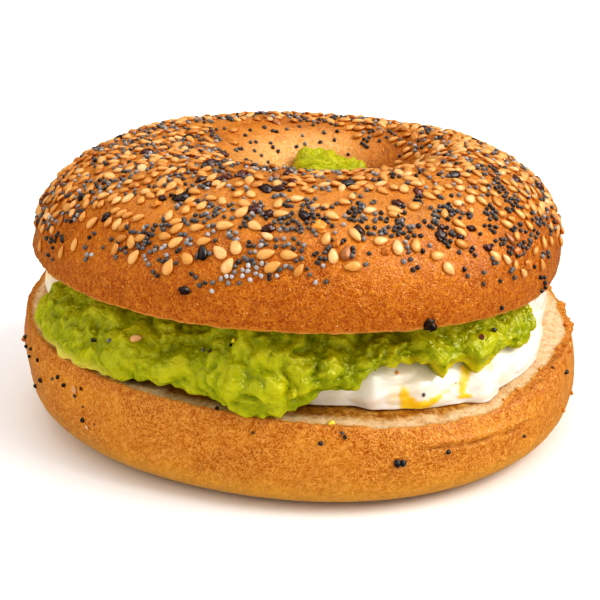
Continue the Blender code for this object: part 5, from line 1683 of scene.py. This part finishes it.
# %% [markdown]
# ## Floor and light
# The sandwich stands on a white sweep in soft studio light. A large lamp at the right throws the soft shadow
# to the left. Two weaker ones light the sides, a wide one behind lights the crest, and an even sky fills the
# shadows. Sun lamps are used, because their light is the same however large the sandwich is.

# %% Floor
FLOOR_HALF_WIDTH = 3.0
FLOOR_WHITE = (0.93, 0.93, 0.93, 1)


def make_floor():
    """A white sweep under the sandwich, which gloss doesn't mirror."""
    made = bmesh.new()
    bmesh.ops.create_grid(made, x_segments=1, y_segments=1, size=FLOOR_HALF_WIDTH)
    mesh = bpy.data.meshes.new("floor")
    made.to_mesh(mesh)
    made.free()
    floor = bpy.data.objects.new("floor", mesh)
    bpy.context.scene.collection.objects.link(floor)
    material, _, shader = new_material("white_sweep", 0.9, Specular_IOR_Level=0.1)
    shader.inputs["Base Color"].default_value = FLOOR_WHITE
    mesh.materials.append(material)
    floor.visible_glossy = False


make_floor()
print("floor %.0f m wide" % (2 * FLOOR_HALF_WIDTH))

# %% [markdown]
# ### The sky, and what gloss mirrors
# Gloss shows what stands round the food. A studio has a dark room low down, a bright ceiling and one soft
# box, so rays that were mirrored see those. All other rays see one even grey, and the camera sees white.

# %% Sky
SOFTBOX = (0.70, -0.10, 0.70)
SOFTBOX_BRIGHTNESS = 5.0


def make_sky(even_light, mirrored):
    """Even light all round and white to the eye. What gloss mirrors goes from the floor up to overhead."""
    sky = bpy.data.worlds.new("sky")
    sky.use_nodes = True
    tree = sky.node_tree
    where = tree.nodes.new("ShaderNodeTexCoord")
    split = tree.nodes.new("ShaderNodeSeparateXYZ")
    tree.links.new(where.outputs["Generated"], split.inputs[0])
    up = sums(tree, "MULTIPLY_ADD", split.outputs["Z"], 0.5)
    up.node.inputs[2].default_value = 0.5
    path = tree.nodes.new("ShaderNodeLightPath")
    even = tree.nodes["Background"]
    even.inputs["Strength"].default_value = even_light
    even.inputs["Color"].default_value = (1, 1, 1, 1)
    towards = tree.nodes.new("ShaderNodeVectorMath")
    towards.operation = "DOT_PRODUCT"
    tree.links.new(where.outputs["Generated"], towards.inputs[0])
    towards.inputs[1].default_value = Vector(SOFTBOX).normalized()
    softbox = ramp(tree, towards.outputs["Value"], [(0.80, (0.0,)), (0.92, (1.0,))])
    gloss = tree.nodes.new("ShaderNodeBackground")
    gloss.inputs["Color"].default_value = (1, 1, 1, 1)
    lamp_light = sums(tree, "MULTIPLY", softbox, SOFTBOX_BRIGHTNESS)
    brightness = sums(tree, "ADD", ramp(tree, up, mirrored), lamp_light)
    tree.links.new(brightness, gloss.inputs["Strength"])
    seen = tree.nodes.new("ShaderNodeBackground")
    shown = even
    for ray, background in (("Is Glossy Ray", gloss), ("Is Camera Ray", seen)):
        choice = tree.nodes.new("ShaderNodeMixShader")
        tree.links.new(path.outputs[ray], choice.inputs[0])
        tree.links.new(shown.outputs[0], choice.inputs[1])
        tree.links.new(background.outputs[0], choice.inputs[2])
        shown = choice
    tree.links.new(shown.outputs[0], tree.nodes["World Output"].inputs["Surface"])
    bpy.context.scene.world = sky


make_sky(0.45, [
    (0.0, (0.26,)), (0.42, (0.16,)), (0.50, (0.02,)), (0.62, (0.03,)), (0.78, (0.2,)), (0.90, (0.8,)),
    (1.0, (0.9,))])
print("soft box towards", SOFTBOX)


# %% Lamps
def far_lamp(name, towards, width, strength):
    """A lamp far away in the direction towards, as wide as that many degrees of the sky."""
    light = bpy.data.lights.new(name, "SUN")
    light.angle = math.radians(width)
    light.energy = strength
    lamp = bpy.data.objects.new(name, light)
    bpy.context.scene.collection.objects.link(lamp)
    lamp.rotation_euler = Vector(towards).to_track_quat("Z", "Y").to_euler()


far_lamp("key", (0.70, -0.14, 0.70), 40, 1.50)
far_lamp("overhead", (-0.15, 0.30, 0.95), 70, 0.66)
far_lamp("right_side", (0.77, -0.50, 0.38), 40, 0.38)
far_lamp("left_side", (-0.88, -0.30, 0.40), 60, 0.72)
bpy.context.scene.view_settings.view_transform = "Standard"
bpy.context.scene.view_settings.look = "High Contrast"
